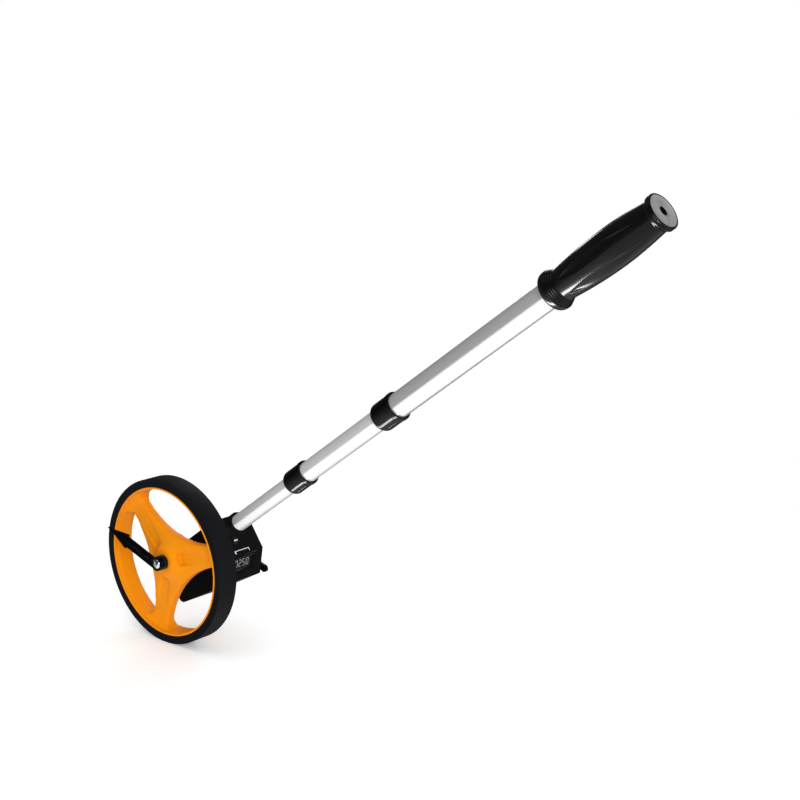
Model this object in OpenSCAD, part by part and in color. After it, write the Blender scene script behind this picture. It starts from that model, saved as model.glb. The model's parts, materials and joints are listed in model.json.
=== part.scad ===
// Digital measuring wheel with a three-section telescopic pole.
// Origin at the centre of the wheel. The axle is Y, and the open side of the wheel faces -Y.
// The pole rises toward +X and +Z. "Station" means the distance from the axle along the pole.

/* [Wheel] */
// Outer diameter of the tyre, for half a metre a turn
tyre_d = 159.2; // [150:0.1:170]
// Width of the tyre and the rim
wheel_w = 20.7; // [18:0.1:24]
// Thickness of the rubber tyre
tyre_t = 7.5; // [5:0.1:9]
// Thickness of the rim hoop
rim_t = 2; // [1.5:0.1:3]
// Number of spokes
spokes = 3; // [3:1:3]
// Direction of the first spoke, from +X toward +Z
spoke_angle = 15; // [0:1:119]
// Nearest distance of an opening to the axle
opening_near = 27; // [26.6:0.2:30]
// Half of the angle that an opening spans at the rim
opening_half_angle = 51; // [47:0.5:53]
// Corner radius of the openings
opening_round = 6.5; // [4:0.5:8]
// Thickness of the spokes
spoke_t = 9; // [7:0.1:10]
// Width of the sunk panel on each spoke
panel_w = 11.5; // [9:0.1:13]
// Distance from the axle to the start of the sunk panels
panel_at = 16; // [14.5:0.1:18]
// Length of the sunk panels
panel_len = 36; // [30:0.5:40]

/* [Axle] */
// Diameter of the fixed spindle
spindle_d = 8; // [7:0.1:9]
// Radial running clearance of turning and sliding fits
running_gap = 0.05; // [0.02:0.01:0.08]
// Free gap between pieces that pass each other
free_gap = 0.3; // [0.25:0.05:0.5]

/* [Pointer] */
// Direction of the pointer, from +X toward +Z
pointer_angle = 161.5; // [0:0.1:359.9]
// Distance from the axle to the needle's tip
pointer_reach = 72; // [70:0.5:78]
// Width of the pointer's arm
pointer_arm_w = 10; // [8:0.1:11]
// Width of the arrowhead at its base
pointer_head_w = 14.8; // [13:0.1:16]
// Distance from the axle to the arrowhead's base
pointer_head_start = 43; // [40:0.5:50]
// Distance from the axle to the end of the arrowhead
pointer_head_end = 64; // [60:0.5:69]

/* [Pole] */
// Tilt of the pole above the horizontal
pole_tilt = 35.63; // [30:0.01:50]
// Diameter of the lower tube
lower_tube_d = 16; // [15:0.1:16.5]
// Step in diameter from each tube to the next
tube_step = 3; // [3:0.1:3.2]
// Wall of the tubes
tube_wall = 1; // [0.8:0.05:1]
// Station of the lower end of the lower collar
lower_collar_at = 150; // [148:1:160]
// Length of the lower collar
lower_collar_len = 26; // [25:0.5:29]
// Diameter of the lower collar
lower_collar_d = 23.4; // [23:0.1:26]
// Station of the lower end of the upper collar
upper_collar_at = 280.5; // [276:0.5:290]
// Length of the upper collar
upper_collar_len = 25; // [24:0.5:28]
// Diameter of the upper collar
upper_collar_d = 26.6; // [26.4:0.1:29]
// Station of the top of the lower tube
lower_tube_top = 392; // [380:1:394]
// Station of the top of the middle tube
mid_tube_top = 484; // [480:1:486]

/* [Grip] */
// Station of the lower end of the grip
grip_at = 489; // [487:0.5:492]
// Length of the grip
grip_len = 114; // [111:0.5:120]
// Largest diameter of the grip
grip_d = 32.4; // [31:0.1:35]
// Diameter of the waists at both ends of the grip
grip_waist_d = 26.1; // [25.6:0.1:27]
// Diameter of the flange at the lower end of the grip
grip_flange_d = 33.2; // [31:0.1:35]
// Diameter of the flange at the upper end of the grip
grip_end_d = 30; // [29:0.1:33]
// Diameter of the hanging hole in the end cap
hang_hole_d = 7.6; // [6:0.1:8.5]

/* [Housing] */
// Gap between the wheel and the housing
housing_gap = 4.65; // [4:0.05:6]
// Width of the housing along the axle
housing_w = 41; // [40:0.1:43]
// Extent of the housing behind the axle
housing_back = 32; // [31:0.5:36]
// Station of the housing's end face
housing_end = 62; // [60:0.5:66]
// Height of the housing above the pole's axis
housing_top = 9.6; // [9.4:0.1:12]
// Depth of the housing below the pole's axis, at the display
housing_low = 48; // [47:0.1:51]
// How much shallower the housing is at its back
housing_rise = 10.5; // [8:0.1:11]
// Size of the slanted corner that carries the display
display_chamfer = 19; // [18:0.1:21]
// Wall of the housing
wall = 2.4; // [2:0.1:2.6]
// Outer diameter of the pole's socket
socket_d = 21.6; // [20.6:0.1:22.5]
// Height of the socket above the end face
socket_h = 1.5; // [1:0.1:4]

/* [Controls] */
// Diameter of the power button
button_d = 7; // [6:0.1:8]
// Travel of the power button
button_travel = 1; // [0.6:0.1:1.2]
// Reach of the zeroing lever from its pivot
lever_reach = 16.5; // [14:0.1:18]
// Width of the lever's thumb end
lever_w = 7; // [6:0.1:8]

/* [Hidden] */
$fn = 96;
eps = 0.01;
corner_steps = 6;
// Wheel
tyre_r = tyre_d / 2;
rim_r = tyre_r - tyre_t;
rim_in = rim_r - rim_t;
half_w = wheel_w / 2;
rim_fillet = 1;
web_sink = 1;
tyre_edge = 1;
web_recess = 3.35;
web_back = half_w - web_recess;
web_front = web_back - spoke_t;
panel_depth = 0.6;
hub_nose_r = 13;
hub_root_r = 21;
hub_back_r = 16;
hub_recess = 0.85;
hub_front = -half_w + hub_recess;
gap_r = rim_in - rim_fillet;
lens_far = (pow(gap_r, 2) - pow(opening_near, 2)) / (2 * (gap_r * cos(opening_half_angle) - opening_near));
lens_r = lens_far - opening_near;
tip_r = gap_r - opening_round;
tip_side = pow(tip_r, 2) + pow(lens_far, 2) - pow(lens_r - opening_round, 2);
tip_angle = acos(tip_side / (2 * lens_far * tip_r));
tip_turn = atan2(tip_r * sin(tip_angle), tip_r * cos(tip_angle) - lens_far);
// Axle
spindle_r = spindle_d / 2;
bush_wall = 2;
bush_r = spindle_r + bush_wall;
bush_flange_w = 2.8;
bush_flange_r = spindle_r + bush_flange_w;
bush_flange_t = 1.2;
bush_len = 7;
spacer_w = 5;
spacer_r = spindle_r + spacer_w;
front_washer_t = 1;
front_washer_w = 2.7;
front_washer_r = spindle_r + front_washer_w;
front_washer_at = hub_front - bush_flange_t - free_gap - front_washer_t;
magnet_count = 8;
magnet_d = 5;
magnet_t = 2;
magnet_circle_r = 20.3;
magnet_ring_in = 16.6;
magnet_ring_out = 24;
magnet_ring_t = 3;
nut_t = 5;
spindle_washer_t = 1;
spindle_washer_w = 2.9;
spindle_washer_r = spindle_r + spindle_washer_w;
spindle_tail = 1;
nut_r = 6.93;
// Pointer
boss_r = 6.8;
boss_t = 4.4;
pointer_back = front_washer_at - free_gap;
pointer_t = 2.8;
pointer_proud = 2.7;
pointer_rim_h = 1.2;
pointer_recess_gap = 0.5;
needle_w = 2.4;
spindle_front = pointer_back - boss_t + free_gap;
screw_head_t = 2.2;
screw_head_r = 4.5;
screw_r = 2;
screw_grip = 9;
screw_shoulder = 1;
// Housing, in the pole's own frame: x is the station, z is square to the pole
housing_y0 = half_w + housing_gap;
housing_y1 = housing_y0 + housing_w;
pole_inset = 14.6;
pole_y = housing_y1 - pole_inset;
back_round = 6;
edge_round = 2;
fastener_r = 1.5;
post_r = 3.4;
post_hole_r = fastener_r;
head_r = 2.8;
head_t = 2;
spindle_boss_t = 2;
nut_y = housing_y0 + wall + spindle_boss_t + spindle_washer_t;
post_inset = 6;
post_floor = 6.5;
post_low_at = 31.5;
post_low_floor = 7;
post_top_at = 44;
case_posts = [
    [-housing_back + post_inset, housing_top - post_inset],
    [-housing_back + post_inset, -housing_low + housing_rise + post_floor],
    [housing_end - post_low_at, -housing_low + post_low_floor],
    [housing_end - post_top_at, housing_top - post_inset]
];
case_screw_grip = 10;
tube_screw_gap = 6;
tube_screw_at = 38;
tube_foot = 28;
rib_t = 3;
rib_foot = 1.2;
front_rib_at = 47;
// Pole
lower_r = lower_tube_d / 2;
mid_r = lower_r + tube_step / 2;
upper_r = mid_r + tube_step / 2;
collet_wall = 0.9;
collet_nose = 5;
collet_len = 14;
collet_set = 2;
lip = 1.7;
bush_plug = 12;
bush_cap = 5;
plug_wall = 1.4;
collar_soft = 1;
collar_nose = 4;
collar_nose_w = 3;
collar_rim_step = 0.4;
collar_room = 1;
collar_rim_h = 4;
// Grip
grip_soft = 1;
grip_nose = 5.5;
grip_nose_w = 3.6;
grip_flange_len = 7;
grip_shoulder = 7.5;
grip_end_len = 5;
grip_points = 14;
cap_r = 13.4;
cap_t = 3;
cap_plug_len = 7;
cap_room = 3;
upper_tube_top = grip_at + grip_len - cap_t - cap_room;
// Display, in a frame square to the slanted face
display_lift = 1.75;
display_mid_x = housing_end - display_chamfer / 2 + display_lift;
display_mid_z = -housing_low + display_chamfer / 2 + display_lift;
display_inset = 18;
display_y = housing_y0 + display_inset;
bezel_w = 29;
bezel_h = 19.6;
bezel_proud = 0.8;
bezel_inset = 1.5;
window_w = 21;
window_h = 12;
lens_w = 23;
lens_h = 14;
lens_t = 1.2;
lcd_t = 2.6;
// Power button
button_r = button_d / 2;
button_inset = 13.5;
button_y = housing_y0 + button_inset;
button_z = -15;
button_proud = 1.4;
button_flange_w = 1.2;
button_flange_r = button_r + button_flange_w;
button_flange_t = 1.6;
button_rest_gap = 0.2;
switch_size = 6;
switch_stem_r = 1.5;
switch_stem_h = 1.6;
switch_board_t = 1.6;
switch_board_w = 13;
switch_board_h = 12;
// Zeroing lever
lever_inset = 20.5;
lever_x = housing_end - lever_inset;
lever_lift = 12;
lever_z = -housing_low + lever_lift;
lever_dir = -53;
lever_t = 3;
lever_boss_r = 5;
lever_neck_w = 6.4;
lever_shaft_r = 2;
lever_guide_r = 4;
lever_guide_t = 3.2;
lever_clip_r = 3.6;
lever_clip_t = 0.8;
cam_t = 2.4;
cam_reach = 4.6;
cam_w = 4;
zero_switch_w = 6;
// Electronics
board_t = 1.6;
board_x0 = -18;
board_x1 = 43;
board_z0 = -33;
board_z1 = -11;
board_inset = 16;
board_y = housing_y0 + board_inset;
sensor_x = 0;
sensor_z = -magnet_circle_r;
sensor_w = 14;
sensor_h = 12;
header_w = 8;
header_h = 2.4;
hall_w = 4;
hall_h = 3;
hall_t = 1.2;
chip_w = 10;
chip_t = 1.5;
// Batteries
cell_r = 5.25;
cell_len = 44.5;
cell_x = -20;
cell_top = 16.6;
cell_pitch = 11.8;
cell_z = [-cell_top, -cell_top - cell_pitch];
cell_inset = 9.4;
cell_y = housing_y1 - cell_inset;
cell_gap = 0.35;
tray_wall = 1.4;
contact_t = 0.8;
contact_w = 8;
nub_r = 1.9;
nub_h = 1;
door_t = 2;
door_margin = 3;
door_lap = 1;
door_reach = 4;
door_x0 = cell_x - door_lap;
door_x1 = cell_x + cell_len + door_lap;
door_z0 = cell_z[1] - door_reach;
door_z1 = cell_z[0] + door_reach;
door_screw_grip = 3;
door_head_t = 1.2;

// Places and helpers

// A round bar along Y
module rod(r, y0, y1) {
    translate([0, y0, 0]) rotate([-90, 0, 0]) cylinder(r = r, h = y1 - y0);
}

// A cone along Y
module taper(r0, r1, y0, y1) {
    translate([0, y0, 0]) rotate([-90, 0, 0]) cylinder(r1 = r0, r2 = r1, h = y1 - y0);
}

// An outline in x and z, extruded along Y
module slab(y0, y1) {
    translate([0, y1, 0]) rotate([90, 0, 0]) linear_extrude(y1 - y0) children();
}

// A block between two corners
module block(p, q) {
    translate(p) cube(q - p);
}

// The pole's frame: x up the pole from the axle, y along the axle
module on_pole() {
    rotate([0, -pole_tilt, 0]) children();
}

// A turned piece on the pole: z runs up the pole from the station
module pole_at(station) {
    on_pole() translate([station, pole_y, 0]) rotate([0, 90, 0]) children();
}

// A sleeve that stands on z = 0
module sleeve(r_out, r_in, h) {
    difference() {
        cylinder(r = r_out, h = h);
        translate([0, 0, -eps]) cylinder(r = r_in, h = h + 2 * eps);
    }
}

// The display's frame: x out of the slanted face, y along the axle, z up the face
module on_display() {
    on_pole() translate([display_mid_x, display_y, display_mid_z]) rotate([0, 45, 0]) children();
}

// A plate square to the display's face
module display_plate(x0, x1, w, h) {
    block([x0, -w / 2, -h / 2], [x1, w / 2, h / 2]);
}

function unit(v) = v / norm(v);
function arc(centre, r, a0, a1, steps) =
    [for (i = [0 : steps]) let (a = a0 + (a1 - a0) * i / steps) centre + r * [cos(a), sin(a)]];
function short_turn(a) = a > 180 ? a - 360 : a < -180 ? a + 360 : a;
// The arc that rounds corner p between its neighbours
function corner(before, p, after, r) =
    let (
        u = unit(before - p),
        v = unit(after - p),
        half = acos(u * v) / 2,
        centre = p + unit(u + v) * r / sin(half),
        start = p + u * r / tan(half) - centre,
        finish = p + v * r / tan(half) - centre,
        a0 = atan2(start[1], start[0]),
        turn = short_turn(atan2(finish[1], finish[0]) - a0)
    )
    arc(centre, r, a0, a0 + turn, corner_steps);
// A quarter of an ellipse at the lower end of a turned profile of radius r
function nose(r, w, h) =
    [for (i = [0 : corner_steps])
        let (a = 90 * i / corner_steps)
        [r - w * (1 - sin(a)), h * (1 - cos(a))]];
function rounded(pts, radii) =
    let (n = len(pts))
    [for (i = [0 : n - 1]) each corner(pts[(i + n - 1) % n], pts[i], pts[(i + 1) % n], radii[i])];

// Wheel

module tyre() {
    color([0.07, 0.07, 0.08])
    rotate([-90, 0, 0])
    rotate_extrude()
    polygon([
        [rim_r, -half_w],
        [tyre_r - tyre_edge, -half_w],
        [tyre_r, -half_w + tyre_edge],
        [tyre_r, half_w - tyre_edge],
        [tyre_r - tyre_edge, half_w],
        [rim_r, half_w]
    ]);
}

// One opening between two spokes, a lens with rounded tips
module opening_outline() {
    polygon(concat(
        arc([0, 0], gap_r, -tip_angle, tip_angle, 24),
        arc(tip_r * [cos(tip_angle), sin(tip_angle)], opening_round, tip_angle, tip_turn, corner_steps),
        arc([lens_far, 0], lens_r, tip_turn, 360 - tip_turn, 24),
        arc(tip_r * [cos(tip_angle), -sin(tip_angle)], opening_round, -tip_turn, -tip_angle, corner_steps)
    ));
}

module wheel_rim() {
    color([0.95, 0.6, 0.05])
    difference() {
        union() {
            difference() {
                rod(rim_r, -half_w, half_w);
                rod(rim_in, -half_w - eps, half_w + eps);
            }
            difference() {
                rod(rim_in + rim_t / 2, web_front, web_back);
                slab(web_front - eps, web_back + eps)
                    for (i = [0 : spokes - 1])
                        rotate(spoke_angle + (i + 0.5) * 360 / spokes) opening_outline();
            }
            taper(hub_nose_r, hub_root_r, hub_front, web_front + web_sink);
            rod(hub_back_r, web_back - web_sink, half_w);
        }
        slab(hub_front - eps, web_front + panel_depth)
            for (i = [0 : spokes - 1])
                rotate(spoke_angle + i * 360 / spokes) translate([panel_at, -panel_w / 2])
                    square([panel_len, panel_w]);
        rod(bush_r, hub_front - eps, half_w + eps);
    }
}

module hub_bush(y_flange, y_inner, y_outer) {
    difference() {
        union() {
            rod(bush_r, min(y_inner, y_flange), max(y_inner, y_flange));
            rod(bush_flange_r, min(y_flange, y_outer), max(y_flange, y_outer));
        }
        rod(spindle_r + running_gap, -half_w - bush_len, half_w + bush_len);
    }
}

module hub_bushes() {
    color([0.9, 0.9, 0.86]) {
        hub_bush(hub_front, hub_front + bush_len, hub_front - bush_flange_t);
        hub_bush(half_w, half_w - bush_len, half_w + bush_flange_t);
    }
}

module magnet_places() {
    for (i = [0 : magnet_count - 1])
        rotate([0, i * 360 / magnet_count, 0]) translate([magnet_circle_r, 0, 0]) children();
}

module magnet_ring() {
    color([0.15, 0.15, 0.16])
    difference() {
        rod(magnet_ring_out, web_back, web_back + magnet_ring_t);
        rod(magnet_ring_in, web_back - eps, web_back + magnet_ring_t + eps);
        magnet_places() rod(magnet_d / 2, web_back + magnet_ring_t - magnet_t, half_w);
    }
}

module magnets() {
    color([0.7, 0.7, 0.72])
    magnet_places() rod(magnet_d / 2, web_back + magnet_ring_t - magnet_t, web_back + magnet_ring_t);
}

// Axle

module spindle() {
    color([0.75, 0.75, 0.77])
    difference() {
        rod(spindle_r, spindle_front, nut_y + nut_t + spindle_tail);
        rod(screw_r, spindle_front - eps, spindle_front + screw_grip);
    }
}

module wheel_spacer() {
    color([0.12, 0.12, 0.13])
    difference() {
        rod(spacer_r, half_w + bush_flange_t + free_gap, housing_y0);
        rod(spindle_r, half_w, housing_y0 + eps);
    }
}

module front_washer() {
    color([0.7, 0.7, 0.72])
    difference() {
        rod(front_washer_r, front_washer_at, front_washer_at + front_washer_t);
        rod(spindle_r, front_washer_at - eps, front_washer_at + front_washer_t + eps);
    }
}

module spindle_washer() {
    color([0.7, 0.7, 0.72])
    difference() {
        rod(spindle_washer_r, nut_y - spindle_washer_t, nut_y);
        rod(spindle_r, nut_y - spindle_washer_t - eps, nut_y + eps);
    }
}

module spindle_nut() {
    color([0.7, 0.7, 0.72])
    difference() {
        translate([0, nut_y, 0]) rotate([-90, 0, 0]) cylinder(r = nut_r, h = nut_t, $fn = 6);
        rod(spindle_r, nut_y - eps, nut_y + nut_t + eps);
    }
}

// Pointer

// The blade stands in front of the boss, and the screw sits in a recess between them
module pointer() {
    seat = pointer_back - boss_t;
    front = seat - pointer_proud;
    color([0.04, 0.04, 0.045])
    rotate([0, -pointer_angle, 0])
    difference() {
        union() {
            rod(boss_r, seat - pointer_rim_h, pointer_back);
            slab(front, front + pointer_t)
                polygon([
                    [0, -pointer_arm_w / 2],
                    [pointer_head_start, -pointer_arm_w / 2],
                    [pointer_head_start, -pointer_head_w / 2],
                    [pointer_head_end, -needle_w / 2],
                    [pointer_reach, 0],
                    [pointer_head_end, needle_w / 2],
                    [pointer_head_start, pointer_head_w / 2],
                    [pointer_head_start, pointer_arm_w / 2],
                    [0, pointer_arm_w / 2]
                ]);
        }
        rod(spindle_r + running_gap, seat - eps, pointer_back + eps);
        rod(screw_head_r + pointer_recess_gap, front - eps, seat);
    }
}

module pointer_screw() {
    color([0.85, 0.85, 0.87]) {
        rod(screw_head_r, spindle_front - free_gap - screw_head_t, spindle_front - free_gap);
        rod(spindle_r - screw_shoulder, spindle_front - free_gap - eps, spindle_front);
        rod(screw_r, spindle_front - free_gap, spindle_front + screw_grip);
    }
}

// Housing

// The housing's outline, drawn inward by a wall
function housing_points(inset) =
    let (slant = inset * tan(22.5))
    [
        [-housing_back + inset, housing_top - inset],
        [housing_end - inset, housing_top - inset],
        [housing_end - inset, -housing_low + display_chamfer + slant],
        [housing_end - display_chamfer - slant, -housing_low + inset],
        [-housing_back + inset, -housing_low + housing_rise + inset]
    ];

module housing_outline(inset = 0) {
    polygon(rounded(
        housing_points(inset),
        [back_round - inset, edge_round, edge_round, edge_round, back_round - inset]
    ));
}

// A row of bars along Y at the case screws
module case_post_places() {
    for (p = case_posts)
        translate([p[0], 0, p[1]]) children();
}

// What both halves of the housing have cut out of them
module housing_cuts() {
    translate([tube_foot, pole_y, 0]) rotate([0, 90, 0])
        cylinder(r = lower_r, h = housing_end + socket_h - tube_foot + eps);
    translate([display_mid_x, display_y, display_mid_z]) rotate([0, 45, 0])
        display_plate(-3 * wall, wall, bezel_w - 2 * bezel_inset, bezel_h - 2 * bezel_inset);
    translate([tube_screw_at, 0, 0]) rod(fastener_r, housing_y0 + wall, housing_y1 + eps);
}

// The sleeve in which the lower tube leaves the housing, for one half of it
module socket_half(y0, y1) {
    start = front_rib_at + rib_t / 2;
    intersection() {
        translate([start, pole_y, 0]) rotate([0, 90, 0])
            cylinder(r = socket_d / 2, h = housing_end + socket_h - start);
        block([start - eps, y0, -socket_d], [housing_end + socket_h + eps, y1, socket_d]);
    }
}

// Two ribs that hold the foot of the lower tube
module tube_ribs(y0, y1) {
    for (x = [tube_foot - rib_t, front_rib_at])
        block([x, y0, -lower_r - rib_foot], [x + rib_t, y1, housing_top - wall + eps]);
}

module front_shell() {
    inner_y = housing_y0 + wall;
    color([0.09, 0.09, 0.1])
    on_pole()
    difference() {
        union() {
            difference() {
                slab(housing_y0, pole_y) housing_outline();
                slab(inner_y, pole_y + eps) housing_outline(wall);
            }
            rod(spacer_r, inner_y - eps, inner_y + spindle_boss_t);
            intersection() {
                union() {
                    case_post_places() rod(post_r, inner_y - eps, pole_y);
                    translate([tube_screw_at, 0, 0]) rod(post_r, inner_y - eps, pole_y - lower_r);
                    tube_ribs(inner_y - eps, pole_y);
                }
                slab(housing_y0, pole_y) housing_outline();
            }
            socket_half(housing_y0, pole_y);
        }
        housing_cuts();
        rod(spindle_r, housing_y0 - eps, inner_y + spindle_boss_t + eps);
        case_post_places() rod(post_hole_r, inner_y + wall, pole_y + eps);
        translate([housing_end - 2 * wall, button_y, button_z]) rotate([0, 90, 0])
            cylinder(r = button_r + running_gap, h = 3 * wall);
    }
}

module rear_shell() {
    inner_y = housing_y1 - wall;
    color([0.09, 0.09, 0.1])
    on_pole()
    difference() {
        union() {
            difference() {
                slab(pole_y, housing_y1) housing_outline();
                slab(pole_y - eps, inner_y) housing_outline(wall);
            }
            intersection() {
                union() {
                    case_post_places() rod(post_r, pole_y, inner_y + eps);
                    translate([tube_screw_at, 0, 0]) rod(post_r, pole_y + lower_r, inner_y + eps);
                    tube_ribs(pole_y, inner_y + eps);
                }
                slab(pole_y, housing_y1) housing_outline();
            }
            translate([lever_x, 0, lever_z]) rod(lever_guide_r, inner_y - lever_guide_t, inner_y + eps);
            socket_half(pole_y, housing_y1);
        }
        housing_cuts();
        case_post_places() rod(fastener_r, pole_y - eps, housing_y1 + eps);
        case_post_places() rod(head_r, housing_y1 - head_t, housing_y1 + eps);
        translate([tube_screw_at, 0, 0]) rod(head_r, housing_y1 - head_t, housing_y1 + eps);
        translate([lever_x, 0, lever_z])
            rod(lever_shaft_r + running_gap, inner_y - lever_guide_t - eps, housing_y1 + eps);
        block([door_x0, inner_y - eps, door_z0], [door_x1, housing_y1 + eps, door_z1]);
        translate([door_x1 + door_margin, 0, (door_z0 + door_z1) / 2])
            rod(fastener_r, inner_y - eps, housing_y1 + eps);
    }
}

// One case screw, its head flush with the rear face
module case_screw(y_tip) {
    rod(fastener_r, y_tip, housing_y1 - head_t + eps);
    rod(head_r, housing_y1 - head_t, housing_y1 - head_t / 4);
}

module case_screws() {
    color([0.2, 0.2, 0.21])
    on_pole()
    case_post_places() case_screw(pole_y - case_screw_grip);
}

module tube_screw() {
    color([0.2, 0.2, 0.21])
    on_pole()
    translate([tube_screw_at, 0, 0]) case_screw(housing_y0 + wall + tube_screw_gap);
}

// Display

module display_bezel() {
    color([0.05, 0.05, 0.055])
    on_display()
    difference() {
        union() {
            display_plate(0, bezel_proud, bezel_w, bezel_h);
            display_plate(-wall, eps, bezel_w - 2 * bezel_inset, bezel_h - 2 * bezel_inset);
        }
        display_plate(-wall - eps, bezel_proud + eps, window_w, window_h);
    }
}

module display_lens() {
    color([0.1, 0.11, 0.12, 0.6])
    on_display() display_plate(-wall - lens_t, -wall, lens_w, lens_h);
}

module lcd_panel() {
    color([0.1, 0.12, 0.12])
    on_display() display_plate(-wall - lens_t - lcd_t, -wall - lens_t, lens_w, lens_h);
}

// Electronics

module main_board() {
    color([0.05, 0.35, 0.15])
    on_pole() block([board_x0, board_y, board_z0], [board_x1, board_y + board_t, board_z1]);
}

module main_chip() {
    chip_x = board_x1 - 2 * chip_w;
    chip_z = (board_z0 + board_z1) / 2;
    color([0.05, 0.05, 0.05])
    on_pole()
    block(
        [chip_x - chip_w / 2, board_y - chip_t, chip_z - chip_w / 2],
        [chip_x + chip_w / 2, board_y, chip_z + chip_w / 2]
    );
}

module sensor_board() {
    y = housing_y0 + wall;
    color([0.05, 0.35, 0.15])
    on_pole()
    block(
        [sensor_x - sensor_w / 2, y, sensor_z - sensor_h / 2],
        [sensor_x + sensor_w / 2, y + board_t, sensor_z + sensor_h / 2]
    );
}

module hall_sensors() {
    y = housing_y0 + wall + board_t;
    color([0.05, 0.05, 0.05])
    on_pole()
    for (side = [-1, 1])
        translate([sensor_x + side * hall_w, 0, sensor_z + hall_h])
            block([-hall_w / 2, y, -hall_h / 2], [hall_w / 2, y + hall_t, hall_h / 2]);
}

module sensor_header() {
    y = housing_y0 + wall + board_t;
    color([0.1, 0.1, 0.1])
    on_pole()
    block(
        [sensor_x - header_w / 2, y, sensor_z - sensor_h / 2],
        [sensor_x + header_w / 2, board_y, sensor_z - sensor_h / 2 + header_h]
    );
}

module switch_board() {
    x = front_rib_at + rib_t;
    color([0.05, 0.35, 0.15])
    on_pole()
    block(
        [x, button_y - switch_board_w / 2, button_z - switch_board_h / 2],
        [x + switch_board_t, button_y + switch_board_w / 2, button_z + switch_board_h / 2]
    );
}

module power_switch() {
    x = front_rib_at + rib_t + switch_board_t;
    top = housing_end - wall - button_flange_t - button_rest_gap - button_travel - button_rest_gap;
    color([0.12, 0.12, 0.12])
    on_pole()
    translate([0, button_y, button_z]) {
        block(
            [x, -switch_size / 2, -switch_size / 2],
            [top - switch_stem_h, switch_size / 2, switch_size / 2]
        );
        translate([top - switch_stem_h - eps, 0, 0]) rotate([0, 90, 0])
            cylinder(r = switch_stem_r, h = switch_stem_h + eps);
    }
}

module power_button() {
    back = housing_end - wall - button_flange_t - button_rest_gap;
    color([0.75, 0.76, 0.78])
    on_pole()
    translate([back, button_y, button_z]) rotate([0, 90, 0]) {
        cylinder(r = button_r, h = housing_end + button_proud - back);
        cylinder(r = button_flange_r, h = button_flange_t);
    }
}

// Zeroing lever

module zero_lever() {
    inner_y = housing_y1 - wall - lever_guide_t;
    y0 = housing_y1 + free_gap;
    color([0.06, 0.06, 0.065])
    on_pole()
    translate([lever_x, 0, lever_z]) {
        rod(lever_boss_r, y0, y0 + lever_t);
        rod(lever_shaft_r, inner_y - lever_clip_t - free_gap - cam_t, y0 + eps);
        rotate([0, -lever_dir, 0]) {
            block([0, y0, -lever_neck_w / 2], [lever_reach - lever_w / 2, y0 + lever_t, lever_neck_w / 2]);
            translate([lever_reach - lever_w / 2, 0, 0]) rod(lever_w / 2, y0, y0 + lever_t);
        }
        block(
            [-cam_reach, inner_y - lever_clip_t - free_gap - cam_t, -cam_w / 2],
            [0, inner_y - lever_clip_t - free_gap, cam_w / 2]
        );
    }
}

module lever_clip() {
    y1 = housing_y1 - wall - lever_guide_t - free_gap;
    color([0.7, 0.7, 0.72])
    on_pole()
    translate([lever_x, 0, lever_z])
    difference() {
        rod(lever_clip_r, y1 - lever_clip_t, y1);
        rod(lever_shaft_r, y1 - lever_clip_t - eps, y1 + eps);
    }
}

module zero_switch() {
    x1 = lever_x - cam_w / 2 - free_gap;
    z0 = lever_z + cam_w;
    color([0.12, 0.12, 0.12])
    on_pole()
    block(
        [x1 - zero_switch_w, board_y + board_t, z0],
        [x1, housing_y1 - wall - lever_guide_t, z0 + zero_switch_w]
    );
}

// Batteries

module cell_places() {
    for (z = cell_z)
        translate([cell_x, cell_y, z]) rotate([0, 90, 0]) children();
}

module battery_tray() {
    r = cell_r + cell_gap;
    x0 = cell_x - contact_t - tray_wall;
    x1 = cell_x + cell_len + contact_t + tray_wall;
    color([0.12, 0.12, 0.13])
    on_pole()
    difference() {
        block(
            [x0, cell_y - r - tray_wall, cell_z[1] - r - tray_wall],
            [x1, housing_y1 - wall, cell_z[0] + r + tray_wall]
        );
        for (z = cell_z) {
            translate([cell_x - contact_t, cell_y, z]) rotate([0, 90, 0])
                cylinder(r = r, h = cell_len + 2 * contact_t);
            block(
                [cell_x - contact_t, cell_y, z - r],
                [cell_x + cell_len + contact_t, housing_y1, z + r]
            );
        }
    }
}

module batteries() {
    color([0.25, 0.45, 0.75])
    on_pole()
    cell_places() {
        cylinder(r = cell_r, h = cell_len - nub_h);
        cylinder(r = nub_r, h = cell_len);
    }
}

module battery_contacts() {
    color([0.8, 0.78, 0.7])
    on_pole()
    for (z = cell_z, x = [cell_x - contact_t, cell_x + cell_len])
        block(
            [x, cell_y - contact_w / 2, z - contact_w / 2],
            [x + contact_t, cell_y + contact_w / 2, z + contact_w / 2]
        );
}

module battery_door() {
    tab_x = door_x1 + door_margin;
    tab_z = (door_z0 + door_z1) / 2;
    color([0.09, 0.09, 0.1])
    on_pole()
    difference() {
        union() {
            block(
                [door_x0 + running_gap, housing_y1 - door_t, door_z0 + running_gap],
                [door_x1 - running_gap, housing_y1, door_z1 - running_gap]
            );
            block(
                [door_x1 - door_margin, housing_y1, tab_z - post_r],
                [tab_x, housing_y1 + door_t / 2, tab_z + post_r]
            );
            translate([tab_x, 0, tab_z]) rod(post_r, housing_y1, housing_y1 + door_t / 2);
        }
        translate([tab_x, 0, tab_z]) rod(fastener_r, housing_y1 - door_t, housing_y1 + door_t);
    }
}

module door_screw() {
    y = housing_y1 + door_t / 2;
    color([0.7, 0.7, 0.72])
    on_pole()
    translate([door_x1 + door_margin, 0, (door_z0 + door_z1) / 2]) {
        rod(fastener_r, housing_y1 - wall - door_screw_grip, y + eps);
        rod(head_r, y, y + door_head_t);
    }
}

// Pole

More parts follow.
